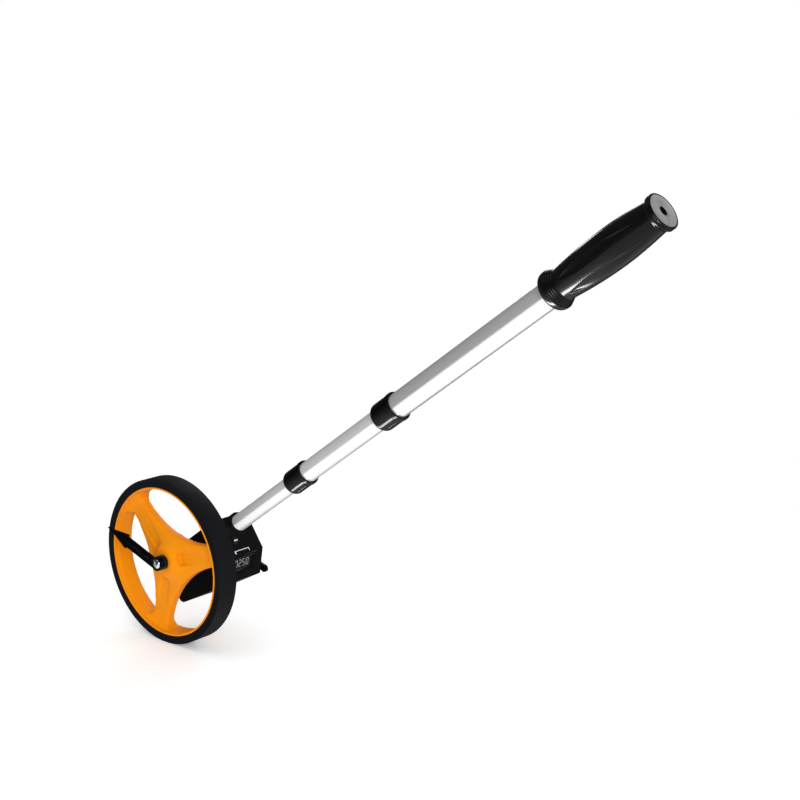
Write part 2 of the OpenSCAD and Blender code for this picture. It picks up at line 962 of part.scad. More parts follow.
module lower_tube() {
    color([0.82, 0.82, 0.84])
    difference() {
        pole_at(tube_foot) sleeve(lower_r, lower_r - tube_wall, lower_tube_top - tube_foot);
        on_pole() translate([tube_screw_at, 0, 0]) rod(fastener_r, housing_y0, housing_y1);
    }
}

// The guide at the top of an inner tube: a plug in the tube and a cap that slides in the next tube
module guide_bush(r, outer_r) {
    difference() {
        union() {
            translate([0, 0, -bush_plug]) cylinder(r = r - tube_wall, h = bush_plug + eps);
            cylinder(r = outer_r - tube_wall - running_gap, h = bush_cap);
        }
        translate([0, 0, -bush_plug - eps])
            cylinder(r = r - tube_wall - plug_wall, h = bush_plug + bush_cap + 2 * eps);
    }
}

// The split ring that grips the inner tube, sleeved over the end of the outer tube
module collet(inner_r, outer_r) {
    difference() {
        cylinder(r = outer_r + collet_wall, h = collet_len);
        translate([0, 0, -eps]) cylinder(r = inner_r + running_gap, h = collet_len);
        translate([0, 0, collet_nose]) cylinder(r = outer_r, h = collet_len);
    }
}

// The twist collar over a collet
module collar(inner_r, outer_r, r, h) {
    chamber_end = collet_set + collet_len + collar_room;
    difference() {
        rotate_extrude()
            polygon(concat(
                [[0, 0]],
                nose(r - collar_rim_step, collar_nose_w, collar_nose),
                [
                    [r - collar_rim_step, h - collar_rim_h],
                    [r, h - collar_rim_h],
                    [r, h - collar_soft],
                    [r - collar_soft, h],
                    [0, h]
                ]
            ));
        translate([0, 0, -eps]) cylinder(r = inner_r + free_gap, h = h);
        translate([0, 0, lip]) cylinder(r = outer_r + collet_wall + running_gap, h = chamber_end - lip);
        translate([0, 0, lip]) cylinder(r = outer_r + free_gap, h = h);
    }
}

module lower_bush() {
    color([0.1, 0.1, 0.1])
    pole_at(lower_tube_top) guide_bush(lower_r, mid_r);
}

module lower_collet() {
    color([0.2, 0.2, 0.2])
    pole_at(lower_collar_at + collet_set) collet(lower_r, mid_r);
}

module lower_collar() {
    color([0.05, 0.05, 0.055])
    pole_at(lower_collar_at) collar(lower_r, mid_r, lower_collar_d / 2, lower_collar_len);
}

module mid_tube() {
    foot = lower_collar_at + collet_set + collet_nose;
    color([0.82, 0.82, 0.84])
    pole_at(foot) sleeve(mid_r, mid_r - tube_wall, mid_tube_top - foot);
}

module mid_bush() {
    color([0.1, 0.1, 0.1])
    pole_at(mid_tube_top) guide_bush(mid_r, upper_r);
}

module upper_collet() {
    color([0.2, 0.2, 0.2])
    pole_at(upper_collar_at + collet_set) collet(mid_r, upper_r);
}

module upper_collar() {
    color([0.05, 0.05, 0.055])
    pole_at(upper_collar_at) collar(mid_r, upper_r, upper_collar_d / 2, upper_collar_len);
}

module upper_tube() {
    foot = upper_collar_at + collet_set + collet_nose;
    color([0.82, 0.82, 0.84])
    pole_at(foot) sleeve(upper_r, upper_r - tube_wall, upper_tube_top - foot);
}

// Grip

// The belly between the two flanges, a half wave from waist to waist
function belly(z0, z1) =
    [for (i = [0 : grip_points])
        let (swell = (grip_d - grip_waist_d) * sin(180 * i / grip_points))
        [(grip_waist_d + swell) / 2, z0 + (z1 - z0) * i / grip_points]];

module grip() {
    color([0.05, 0.05, 0.055])
    pole_at(grip_at)
    difference() {
        rotate_extrude()
            polygon(concat(
                [[0, 0]],
                nose(grip_flange_d / 2, grip_nose_w, grip_nose),
                [[grip_flange_d / 2, grip_flange_len]],
                belly(grip_flange_len + grip_shoulder, grip_len - grip_end_len - 2 * grip_soft),
                [
                    [grip_end_d / 2, grip_len - grip_end_len],
                    [grip_end_d / 2, grip_len - grip_soft],
                    [grip_end_d / 2 - grip_soft, grip_len],
                    [0, grip_len]
                ]
            ));
        translate([0, 0, -eps]) cylinder(r = upper_r, h = grip_len);
        translate([0, 0, grip_len - cap_t]) cylinder(r = cap_r, h = cap_t + eps);
    }
}

module grip_cap() {
    color([0.42, 0.42, 0.43])
    pole_at(grip_at + grip_len - cap_t)
    difference() {
        union() {
            cylinder(r = cap_r, h = cap_t);
            translate([0, 0, -cap_plug_len]) cylinder(r = upper_r - tube_wall, h = cap_plug_len + eps);
        }
        translate([0, 0, -cap_plug_len - eps])
            cylinder(r = hang_hole_d / 2, h = cap_plug_len + cap_t + 2 * eps);
    }
}

tyre();
wheel_rim();
hub_bushes();
magnet_ring();
magnets();
spindle();
wheel_spacer();
front_washer();
spindle_nut();
spindle_washer();
pointer();
pointer_screw();
front_shell();
rear_shell();
case_screws();
tube_screw();
display_bezel();
display_lens();
lcd_panel();
main_board();
main_chip();
sensor_board();
hall_sensors();
sensor_header();
switch_board();
power_switch();
power_button();
zero_lever();
lever_clip();
zero_switch();
battery_tray();
batteries();
battery_contacts();
battery_door();
door_screw();
lower_tube();
lower_bush();
lower_collar();
lower_collet();
mid_tube();
mid_bush();
upper_collar();
upper_collet();
upper_tube();
grip();
grip_cap();
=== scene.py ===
"""Looks of the measuring wheel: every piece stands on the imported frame, in metres.

The wheel turns about Y, the pole rises toward +X and +Z, and +Z is up.
"""

import json
from math import cos, pi, radians, sin, sqrt

import bmesh
import bpy
from mathutils import Matrix, Vector

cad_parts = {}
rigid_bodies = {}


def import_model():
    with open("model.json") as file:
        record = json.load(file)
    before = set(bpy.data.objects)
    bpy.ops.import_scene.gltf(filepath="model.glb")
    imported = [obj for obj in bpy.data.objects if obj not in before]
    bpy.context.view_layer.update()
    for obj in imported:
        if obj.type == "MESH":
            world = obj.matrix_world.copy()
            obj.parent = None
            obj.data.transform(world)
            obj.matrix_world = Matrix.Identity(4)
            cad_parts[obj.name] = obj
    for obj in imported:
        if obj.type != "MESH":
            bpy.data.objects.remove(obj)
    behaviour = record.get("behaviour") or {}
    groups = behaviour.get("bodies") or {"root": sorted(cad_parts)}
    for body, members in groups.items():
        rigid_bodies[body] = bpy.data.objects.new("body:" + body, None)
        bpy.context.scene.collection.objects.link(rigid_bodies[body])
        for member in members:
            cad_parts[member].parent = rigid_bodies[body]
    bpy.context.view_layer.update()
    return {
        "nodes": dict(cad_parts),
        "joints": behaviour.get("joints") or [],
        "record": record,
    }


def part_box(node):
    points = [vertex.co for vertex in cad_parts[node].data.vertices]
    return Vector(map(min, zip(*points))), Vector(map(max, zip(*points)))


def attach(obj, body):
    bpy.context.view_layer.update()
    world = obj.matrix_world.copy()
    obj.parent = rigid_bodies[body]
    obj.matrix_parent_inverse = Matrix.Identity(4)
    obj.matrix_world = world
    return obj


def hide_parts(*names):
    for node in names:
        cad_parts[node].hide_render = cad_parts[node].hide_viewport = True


MM = 0.001

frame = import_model()
joints = {j["name"]: j for j in frame["joints"]}

# Driving places, read from the frame
TYRE_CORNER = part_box("tyre")[1]
TYRE_R = TYRE_CORNER.z
HALF_W = TYRE_CORNER.y
RIM_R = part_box("wheel_rim")[1].z
POLE_AXIS = Vector(joints["lower_slide"]["axis"]).normalized()
POLE_Y = joints["lower_lock"]["pos_m"][1]
POLE_UP = Vector((-POLE_AXIS.z, 0, POLE_AXIS.x))
SPINDLE_AXIS = Vector((0, 1, 0))

# Camera, from the photograph's perspective
CAMERA_AT = Vector((0.987244, -0.830789, 0.430191))
CAMERA_LOOKS = Vector((-0.63120, 0.74613, -0.21184))
CAMERA_LENS_MM = 63.41
CAMERA_SENSOR_MM = 36


# ---- Frames and measures -------------------------------------------------------------------


def axes_matrix(x_axis, y_axis, z_axis, origin):
    """A matrix with the given columns."""
    turn = Matrix((x_axis, y_axis, z_axis)).transposed().to_4x4()
    return Matrix.Translation(origin) @ turn


POLE_FRAME = axes_matrix(POLE_AXIS, SPINDLE_AXIS, POLE_UP, Vector())
POLE_TURNED = axes_matrix(-POLE_UP, SPINDLE_AXIS, POLE_AXIS, Vector((0, POLE_Y, 0)))
AXLE_TURNED = axes_matrix(Vector((1, 0, 0)), Vector((0, 0, -1)), SPINDLE_AXIS, Vector())


def node_points(node):
    """Places of a node's vertices."""
    return [v.co for v in frame["nodes"][node].data.vertices]


def pole_span(node):
    """Lowest and highest station of a node along the pole."""
    stations = [p.dot(POLE_AXIS) for p in node_points(node)]
    return min(stations), max(stations)


def pole_radius(node):
    """Largest distance of a node from the pole's axis."""
    centre = Vector((0, POLE_Y, 0))
    return max((p - centre).cross(POLE_AXIS).length for p in node_points(node))


# ---- Shader groups and materials -----------------------------------------------------------

LINE_STRETCH = (6.0, 1400.0, 1400.0)
LINE_RELIEF = 0.1 * MM
GRAIN_RELIEF = 0.2 * MM


def new_group(name, inputs, outputs):
    """A shader node group with float inputs and outputs; gives its tree and its two ends."""
    tree = bpy.data.node_groups.new(name, "ShaderNodeTree")
    for label, value in inputs.items():
        socket = tree.interface.new_socket(label, in_out="INPUT", socket_type="NodeSocketFloat")
        socket.default_value = value
    for label in outputs:
        tree.interface.new_socket(label, in_out="OUTPUT", socket_type="NodeSocketFloat")
    return tree, tree.nodes.new("NodeGroupInput"), tree.nodes.new("NodeGroupOutput")


def make_moulded_grain():
    """Fine pits of a mould and slow changes of tone, over the piece's own coordinates."""
    tree, given, result = new_group(
        "moulded_grain", {"Grain Scale": 900.0, "Cloud Scale": 25.0}, ("Grain", "Cloud")
    )
    place = tree.nodes.new("ShaderNodeTexCoord")
    for label, scale_label, detail in (("Grain", "Grain Scale", 3.0), ("Cloud", "Cloud Scale", 4.0)):
        noise = tree.nodes.new("ShaderNodeTexNoise")
        noise.inputs["Detail"].default_value = detail
        tree.links.new(place.outputs["Object"], noise.inputs["Vector"])
        tree.links.new(given.outputs[scale_label], noise.inputs["Scale"])
        tree.links.new(noise.outputs["Fac"], result.inputs[label])
    return tree


def make_drawn_lines():
    """Fine drawing lines along the pole, from noise stretched along its axis."""
    tree, given, result = new_group("drawn_lines", {"Line Scale": 1.0}, ("Lines",))
    place = tree.nodes.new("ShaderNodeTexCoord")
    turn = tree.nodes.new("ShaderNodeMapping")
    turn.vector_type = "TEXTURE"
    turn.inputs["Rotation"].default_value = POLE_FRAME.to_euler()
    stretch = tree.nodes.new("ShaderNodeMapping")
    stretch.inputs["Scale"].default_value = LINE_STRETCH
    noise = tree.nodes.new("ShaderNodeTexNoise")
    noise.inputs["Detail"].default_value = 2.0
    tree.links.new(place.outputs["Object"], turn.inputs["Vector"])
    tree.links.new(turn.outputs["Vector"], stretch.inputs["Vector"])
    tree.links.new(stretch.outputs["Vector"], noise.inputs["Vector"])
    tree.links.new(given.outputs["Line Scale"], noise.inputs["Scale"])
    tree.links.new(noise.outputs["Fac"], result.inputs["Lines"])
    return tree


MOULDED_GRAIN = make_moulded_grain()
DRAWN_LINES = make_drawn_lines()


def ramp(tree, source, low, high):
    """Maps a 0 to 1 value onto low to high."""
    node = tree.nodes.new("ShaderNodeMapRange")
    node.inputs["To Min"].default_value = low
    node.inputs["To Max"].default_value = high
    tree.links.new(source, node.inputs["Value"])
    return node.outputs["Result"]


def tone(tree, source, dark, light):
    """Mixes two colours by a value."""
    node = tree.nodes.new("ShaderNodeMix")
    node.data_type = "RGBA"
    node.inputs["A"].default_value = (*dark, 1)
    node.inputs["B"].default_value = (*light, 1)
    tree.links.new(source, node.inputs["Factor"])
    return node.outputs["Result"]


def bump(tree, height, strength, distance):
    """A bump from a height."""
    node = tree.nodes.new("ShaderNodeBump")
    node.inputs["Strength"].default_value = strength
    node.inputs["Distance"].default_value = distance
    tree.links.new(height, node.inputs["Height"])
    return node.outputs["Normal"]


def blend(tree, factor, first, second):
    """Mixes two values, each a number or a socket."""
    node = tree.nodes.new("ShaderNodeMix")
    for label, value in (("A", first), ("B", second)):
        if isinstance(value, float):
            node.inputs[label].default_value = value
        else:
            tree.links.new(value, node.inputs[label])
    tree.links.new(factor, node.inputs["Factor"])
    return node.outputs["Result"]


def product(tree, first, second):
    """Multiplies two values."""
    node = tree.nodes.new("ShaderNodeMath")
    node.operation = "MULTIPLY"
    tree.links.new(first, node.inputs[0])
    tree.links.new(second, node.inputs[1])
    return node.outputs["Value"]


def smooth_step(tree, source, start, end, low=0.0, high=1.0):
    """Eases from low to high while a value goes from start to end."""
    node = tree.nodes.new("ShaderNodeMapRange")
    node.interpolation_type = "SMOOTHSTEP"
    node.inputs["From Min"].default_value = start
    node.inputs["From Max"].default_value = end
    node.inputs["To Min"].default_value = low
    node.inputs["To Max"].default_value = high
    tree.links.new(source, node.inputs["Value"])
    return node.outputs["Result"]


def new_material(name):
    """An empty material, with its tree and its shader."""
    material = bpy.data.materials.new(name)
    material.use_nodes = True
    return material, material.node_tree, material.node_tree.nodes["Principled BSDF"]


def grain_node(tree, grain_scale, cloud_scale):
    """The moulded grain group at two scales."""
    grain = tree.nodes.new("ShaderNodeGroup")
    grain.node_tree = MOULDED_GRAIN
    grain.inputs["Grain Scale"].default_value = grain_scale
    grain.inputs["Cloud Scale"].default_value = cloud_scale
    return grain


def grained_material(
    name, dark, light, rough, grain_scale=900.0, cloud_scale=25.0, depth=0.15, metallic=0.0, specular=0.5,
):
    """A moulded or cast finish: grain in the bump, clouds in the colour and the roughness."""
    material, tree, shader = new_material(name)
    grain = grain_node(tree, grain_scale, cloud_scale)
    cloud = grain.outputs["Cloud"]
    shader.inputs["Metallic"].default_value = metallic
    shader.inputs["Specular IOR Level"].default_value = specular
    tree.links.new(tone(tree, cloud, dark, light), shader.inputs["Base Color"])
    tree.links.new(ramp(tree, cloud, *rough), shader.inputs["Roughness"])
    tree.links.new(bump(tree, grain.outputs["Grain"], depth, GRAIN_RELIEF), shader.inputs["Normal"])
    return material


def tube_material(name, metallic):
    """Bright drawn tube: metal under a pale skin, with fine lines along the pole."""
    material, tree, shader = new_material(name)
    group = tree.nodes.new("ShaderNodeGroup")
    group.node_tree = DRAWN_LINES
    lines = group.outputs["Lines"]
    shader.inputs["Metallic"].default_value = metallic
    tree.links.new(tone(tree, lines, (0.88, 0.88, 0.89), (0.96, 0.96, 0.97)), shader.inputs["Base Color"])
    tree.links.new(ramp(tree, lines, 0.18, 0.26), shader.inputs["Roughness"])
    tree.links.new(bump(tree, lines, 0.05, LINE_RELIEF), shader.inputs["Normal"])
    return material


def lens_material():
    """Clear window over the display."""
    material, tree, shader = new_material("clear_window")
    smears = grain_node(tree, 300.0, 120.0).outputs["Cloud"]
    tree.links.new(tone(tree, smears, (0.82, 0.85, 0.87), (0.88, 0.91, 0.93)), shader.inputs["Base Color"])
    tree.links.new(ramp(tree, smears, 0.02, 0.09), shader.inputs["Roughness"])
    shader.inputs["IOR"].default_value = 1.45
    shader.inputs["Transmission Weight"].default_value = 1.0
    return material


def figure_material():
    """Figures of the display, with a faint painted glow."""
    material, tree, shader = new_material("display_figures")
    drift = grain_node(tree, 2000.0, 200.0).outputs["Cloud"]
    tree.links.new(tone(tree, drift, (0.27, 0.29, 0.28), (0.33, 0.35, 0.34)), shader.inputs["Base Color"])
    shader.inputs["Roughness"].default_value = 0.5
    # Painted light: a faint emission makes the figures glow, standing in for the light the window holds
    # back.
    tree.links.new(tone(tree, drift, (0.6, 0.64, 0.62), (0.95, 1.0, 0.98)), shader.inputs["Emission Color"])
    shader.inputs["Emission Strength"].default_value = 0.1
    return material


FINISH = {
    "tyre_rubber": grained_material(
        "tyre_rubber", (0.0045, 0.0048, 0.0062), (0.0068, 0.0072, 0.009), (0.5, 0.62),
        grain_scale=1400, cloud_scale=40, depth=0.25, specular=0.06,
    ),
    "orange_plastic": grained_material(
        "orange_wheel", (0.84, 0.262, 0.001), (0.89, 0.292, 0.002), (0.36, 0.46),
        grain_scale=1100, cloud_scale=18, depth=0.06, specular=0.09,
    ),
    "black_plastic": grained_material(
        "housing_black", (0.0034, 0.0034, 0.0036), (0.0052, 0.0052, 0.0055), (0.3, 0.4),
        grain_scale=1300, cloud_scale=35, depth=0.15, specular=0.03,
    ),
    "gloss_black": grained_material(
        "gloss_black", (0.0014, 0.0014, 0.0016), (0.0024, 0.0024, 0.0026), (0.13, 0.18),
        grain_scale=700, cloud_scale=30, depth=0.015, specular=0.045,
    ),
    "grip_black": grained_material(
        "grip_vinyl", (0.0025, 0.0025, 0.0027), (0.004, 0.004, 0.0042), (0.2, 0.27),
        grain_scale=900, cloud_scale=40, depth=0.005, specular=0.14,
    ),
    "grey_plastic": grained_material(
        "cap_grey", (0.12, 0.12, 0.122), (0.36, 0.36, 0.362), (0.4, 0.55),
        grain_scale=700, cloud_scale=110, depth=0.4,
    ),
    "tube_metal": tube_material("bright_drawn_tube", 0.72),
    "black_nylon": grained_material(
        "black_nylon", (0.003, 0.003, 0.003), (0.005, 0.005, 0.005), (0.45, 0.6), specular=0.1,
    ),
    "steel": grained_material(
        "plated_steel", (0.5, 0.5, 0.5), (0.62, 0.62, 0.63), (0.25, 0.4),
        grain_scale=600, cloud_scale=80, depth=0.1, metallic=1.0,
    ),
    "chrome": grained_material(
        "bright_chrome", (0.62, 0.62, 0.64), (0.72, 0.72, 0.74), (0.05, 0.1),
        grain_scale=500, cloud_scale=40, depth=0.02, metallic=1.0,
    ),
    "dark_steel": grained_material(
        "dark_steel", (0.015, 0.015, 0.016), (0.03, 0.03, 0.032), (0.3, 0.42),
        grain_scale=600, cloud_scale=80, depth=0.1, metallic=1.0,
    ),
    "button_black": grained_material(
        "button_black", (0.003, 0.003, 0.0033), (0.005, 0.005, 0.0055), (0.3, 0.4), specular=0.12,
    ),
    "clear_lens": lens_material(),
    "lcd": grained_material(
        "display_dark", (0.004, 0.005, 0.005), (0.006, 0.007, 0.007), (0.12, 0.2),
        grain_scale=400, cloud_scale=30, depth=0.01, specular=0.04,
    ),
    "board": grained_material("board_mask", (0.01, 0.09, 0.03), (0.015, 0.12, 0.045), (0.3, 0.45)),
    "component": grained_material("epoxy_black", (0.012, 0.012, 0.012), (0.02, 0.02, 0.02), (0.5, 0.6)),
    "cell_jacket": grained_material("cell_jacket", (0.02, 0.1, 0.35), (0.03, 0.13, 0.42), (0.25, 0.35)),
}
PALE_TUBE = tube_material("pale_drawn_tube", 0.52)
PALE_NODES = ("lower_tube", "mid_tube")
FIGURES = figure_material()
# A flat pale colour for the small marks on the case and on the button.
PALE_MARK = grained_material(
    "pale_mark", (0.62, 0.62, 0.63), (0.72, 0.72, 0.73), (0.35, 0.5), cloud_scale=60, depth=0.1,
)
NODE_SLOT = {s["node"]: s["material_slot"] for s in frame["record"]["subparts"]}


def dress_frame():
    """Every carried-over node gets the finish of its slot, and the two lower tubes a paler one."""
    for name, node in frame["nodes"].items():
        node.data.materials.clear()
        node.data.materials.append(PALE_TUBE if name in PALE_NODES else FINISH[NODE_SLOT[name]])


# ---- Making pieces -------------------------------------------------------------------------

CREASE_DEGREES = 35
SHARP = radians(30)
TURNED_SHARP = radians(20)
NODE_SHARP = radians(40)
NODE_FLAT = radians(0.5)
TURNED_MERGE = 1e-7
AXIS_R = 0.02 * MM  # where a turned profile stops short of its axis
NODE_MERGE = 2e-6


def as_mesh(bm, name):
    """A mesh made from a bmesh, which goes."""
    mesh = bpy.data.meshes.new(name)
    bm.to_mesh(mesh)
    bm.free()
    return mesh


def add_object(name, data):
    """A new object in the scene."""
    item = bpy.data.objects.new(name, data)
    bpy.context.scene.collection.objects.link(item)
    return item


def finish_piece(bm, name, body, slot, material=None, stands_for=None, crease=CREASE_DEGREES):
    """Turns a bmesh into a piece that rides on a body, with its finish."""
    return finish_mesh(as_mesh(bm, name), name, body, slot, material, stands_for, crease)


def finish_mesh(mesh, name, body, slot, material=None, stands_for=None, crease=CREASE_DEGREES):
    """Turns a mesh into a piece that rides on a body, with its finish."""
    mesh.shade_smooth()
    mesh.set_sharp_from_angle(angle=radians(crease))
    mesh.materials.clear()
    mesh.materials.append(material or FINISH[slot])
    piece = add_object(name, mesh)
    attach(piece, body)
    if stands_for:
        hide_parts(stands_for)
    return piece


def sharp_edges(bm, angle):
    """Edges whose two faces meet at more than an angle."""
    bm.normal_update()
    return [e for e in bm.edges if len(e.link_faces) == 2 and e.calc_face_angle(0) > angle]


def soften(bm, offset, segments=3, angle=SHARP):
    """Rounds every sharp edge."""
    bmesh.ops.bevel(
        bm, geom=sharp_edges(bm, angle), offset=offset, segments=segments, profile=0.5,
        affect="EDGES", clamp_overlap=True, material=-1,
    )


def turned(profile, matrix, steps=128, round_by=0.0, segments=3):
    """A closed profile of (radius, height) spun about the matrix's z axis."""
    bm = bmesh.new()
    ring = [bm.verts.new((r, 0, z)) for r, z in profile]
    edges = [bm.edges.new((ring[i - 1], ring[i])) for i in range(len(ring))]
    bmesh.ops.spin(
        bm, geom=ring + edges, axis=(0, 0, 1), cent=(0, 0, 0), steps=steps, angle=2 * pi, use_merge=True,
    )
    bmesh.ops.remove_doubles(bm, verts=bm.verts, dist=TURNED_MERGE)
    bmesh.ops.recalc_face_normals(bm, faces=bm.faces)
    if round_by:
        soften(bm, round_by, segments, TURNED_SHARP)
    bmesh.ops.transform(bm, matrix=matrix, verts=bm.verts)
    return bm


def slab(outline, low, high, matrix):
    """An outline in x and y, raised from low to high, then placed."""
    bm = bmesh.new()
    face = bm.faces.new([bm.verts.new((x, y, low)) for x, y in outline])
    raised = bmesh.ops.extrude_face_region(bm, geom=[face])
    bmesh.ops.translate(
        bm, vec=(0, 0, high - low), verts=[v for v in raised["geom"] if isinstance(v, bmesh.types.BMVert)],
    )
    bmesh.ops.recalc_face_normals(bm, faces=bm.faces)
    bmesh.ops.transform(bm, matrix=matrix, verts=bm.verts)
    return bm


def block(low, high, matrix, round_by=0.0, segments=2):
    """A box between two corners, with rounded edges, then placed."""
    bm = bmesh.new()
    bmesh.ops.create_cube(bm, size=1)
    size = [h - l for l, h in zip(low, high)]
    middle = [(h + l) / 2 for l, h in zip(low, high)]
    bmesh.ops.scale(bm, vec=size, verts=bm.verts)
    bmesh.ops.translate(bm, vec=middle, verts=bm.verts)
    if round_by:
        soften(bm, round_by, segments)
    bmesh.ops.transform(bm, matrix=matrix, verts=bm.verts)
    return bm


def join_bmesh(target, *others):
    """Adds other bmeshes to the first one."""
    for other in others:
        mesh = as_mesh(other, "part")
        target.from_mesh(mesh)
        bpy.data.meshes.remove(mesh)
    return target


def temporary(bm, name):
    """A scratch object for a modifier to use."""
    return add_object(name, as_mesh(bm, name))


def carved(base, cutters):
    """A scratch object with others cut out of it."""
    for cutter in cutters:
        cut = base.modifiers.new("cut", "BOOLEAN")
        cut.operation = "DIFFERENCE"
        cut.solver = "EXACT"
        cut.object = cutter
    return base


def baked(scratch, leftovers=()):
    """The mesh of a scratch object with its modifiers applied; the scratch objects go."""
    bpy.context.view_layer.update()
    graph = bpy.context.evaluated_depsgraph_get()
    mesh = bpy.data.meshes.new_from_object(scratch.evaluated_get(graph))
    for item in (scratch, *leftovers):
        old = item.data
        bpy.data.objects.remove(item)
        bpy.data.meshes.remove(old)
    return mesh


def node_copy(node):
    """A merged copy of a node's mesh as a bmesh."""
    bm = bmesh.new()
    bm.from_mesh(frame["nodes"][node].data)
    bmesh.ops.remove_doubles(bm, verts=bm.verts, dist=NODE_MERGE)
    bmesh.ops.dissolve_limit(
        bm, angle_limit=NODE_FLAT, verts=bm.verts, edges=bm.edges, use_dissolve_boundaries=False,
    )
    return bm


def softened_node(node, name, width, segments=3, crease=CREASE_DEGREES):
    """A node with its edges rounded by a Bevel modifier."""
    piece = finish_piece(
        node_copy(node), name, body_of(node), NODE_SLOT[node], stands_for=node, crease=crease,
    )
    bevel = piece.modifiers.new("rounded_edges", "BEVEL")
    bevel.width = width
    bevel.segments = segments
    bevel.limit_method = "ANGLE"
    bevel.angle_limit = NODE_SHARP
    bevel.use_clamp_overlap = True
    bevel.harden_normals = False
    return piece


def body_of(node):
    """The body that a node rides on."""
    bodies = frame["record"]["behaviour"]["bodies"]
    return next(body for body, members in bodies.items() if node in members)


# ---- Wheel ---------------------------------------------------------------------------------

SPOKES = 3
SPOKE_ANGLE = radians(15)
RIM_IN = RIM_R - 2 * MM
GAP_R = RIM_IN - 1 * MM
GAP_NEAR = 27 * MM
GAP_HALF_ANGLE = radians(51)
GAP_ROUND = 6.5 * MM
HUB_FRONT = -HALF_W + 0.85 * MM
BUSH_R = 6 * MM
COARSE_VOXEL, COARSE_ROUNDS = 1.0 * MM, 22
FINE_VOXEL, FINE_ROUNDS = 0.7 * MM, 4


def arc(centre, radius, start, finish, steps):
    """Points on an arc."""
    return [
        (centre[0] + radius * cos(start + (finish - start) * i / steps),
         centre[1] + radius * sin(start + (finish - start) * i / steps))
        for i in range(steps + 1)
    ]


def gap_outline(angle):
    """One opening between two spokes: a lens with rounded tips, turned to an angle."""
    far = (GAP_R**2 - GAP_NEAR**2) / (2 * (GAP_R * cos(GAP_HALF_ANGLE) - GAP_NEAR))
    lens_r = far - GAP_NEAR
    tip_r = GAP_R - GAP_ROUND
    cos_tip = (tip_r**2 + far**2 - (lens_r - GAP_ROUND) ** 2) / (2 * far * tip_r)
    tip = Vector((tip_r * cos_tip, tip_r * sqrt(1 - cos_tip**2)))
    tip_angle = Vector((1, 0)).angle_signed(tip) * -1
    turn = Vector((1, 0)).angle_signed(tip - Vector((far, 0))) * -1
    points = (
        arc((0, 0), GAP_R, -tip_angle, tip_angle, 40)[1:-1]
        + arc(tip, GAP_ROUND, tip_angle, turn, 12)
        + arc((far, 0), lens_r, turn, 2 * pi - turn, 40)[1:-1]
        + arc((tip.x, -tip.y), GAP_ROUND, -turn, -tip_angle, 12)
    )
    return [(x * cos(angle) - y * sin(angle), x * sin(angle) + y * cos(angle)) for x, y in points]


# Outlines drawn in x and z, raised along -Y
FRONT_FACE = axes_matrix(Vector((1, 0, 0)), Vector((0, 0, 1)), Vector((0, -1, 0)), Vector())


def panel_cutter(angle):
    """The sunk panel of a spoke: its floor rises outward until it meets the face."""
    near, far = 16 * MM, 54 * MM
    half_w, half_far = 5.75 * MM, 6.6 * MM
    floor_near, floor_far, top = 1.3 * MM, 2.2 * MM, 12 * MM
    bm = slab([(near, -half_w), (far, -half_far), (far, half_far), (near, half_w)], 0, top, Matrix())
    for v in bm.verts:
        if v.co.z < top / 2:
            v.co.z = floor_near if v.co.x < (near + far) / 2 else floor_far
    bmesh.ops.transform(bm, matrix=FRONT_FACE @ Matrix.Rotation(angle, 4, "Z"), verts=bm.verts)
    return bm


def blended(scratch, voxel, rounds):
    """Evens a scratch object's mesh and smooths its edges."""
    remesh = scratch.modifiers.new("even", "REMESH")
    remesh.mode = "VOXEL"
    remesh.voxel_size = voxel
    remesh.use_smooth_shade = True
    smooth = scratch.modifiers.new("blend", "SMOOTH")
    smooth.factor = 0.5
    smooth.iterations = rounds


def make_spokes():
    """The dished web of the wheel: a turned disc with three openings, blended into soft spokes."""
    profile = [
        (BUSH_R, HUB_FRONT),
        (12.5 * MM, HUB_FRONT),
        (15.0 * MM, -7.6 * MM),
        (19.0 * MM, -4.6 * MM),
        (25.0 * MM, -3.2 * MM),
        (38.0 * MM, -2.6 * MM),
        (56.0 * MM, -1.6 * MM),
        (63.0 * MM, -2.2 * MM),
        (67.5 * MM, -5.0 * MM),
        (RIM_IN + 0.9 * MM, -HALF_W + 1.2 * MM),
        (RIM_IN + 0.9 * MM, HALF_W - 0.6 * MM),
        (66.0 * MM, 8.2 * MM),
        (58.0 * MM, 7.2 * MM),
        (17.0 * MM, 7.0 * MM),
        (16.0 * MM, HALF_W),
        (BUSH_R, HALF_W),
    ]
    disc = temporary(turned(profile, AXLE_TURNED, steps=180), "disc")
    gaps, panels = [], []
    for i in range(SPOKES):
        spoke = SPOKE_ANGLE + i * 2 * pi / SPOKES
        gap = slab(gap_outline(spoke + pi / SPOKES), -2 * HALF_W, 2 * HALF_W, FRONT_FACE)
        gaps.append(temporary(gap, "gap"))
        panels.append(temporary(panel_cutter(spoke), "panel"))
    carved(disc, gaps)
    blended(disc, COARSE_VOXEL, COARSE_ROUNDS)
    carved(disc, panels)
    blended(disc, FINE_VOXEL, FINE_ROUNDS)
    spokes = baked(disc, gaps + panels)
    finish_mesh(spokes, "wheel_spokes", "wheel", "orange_plastic", stands_for="wheel_rim", crease=60)


def make_rim():
    """The hoop under the tyre."""
    lip, draft = 0.35 * MM, 0.4 * MM
    profile = [
        (RIM_IN, -HALF_W), (RIM_R - lip, -HALF_W), (RIM_R - lip, HALF_W), (RIM_IN - draft, HALF_W),
    ]
    hoop = turned(profile, AXLE_TURNED, steps=192, round_by=0.4 * MM)
    finish_piece(hoop, "wheel_hoop", "wheel", "orange_plastic", stands_for="wheel_rim")


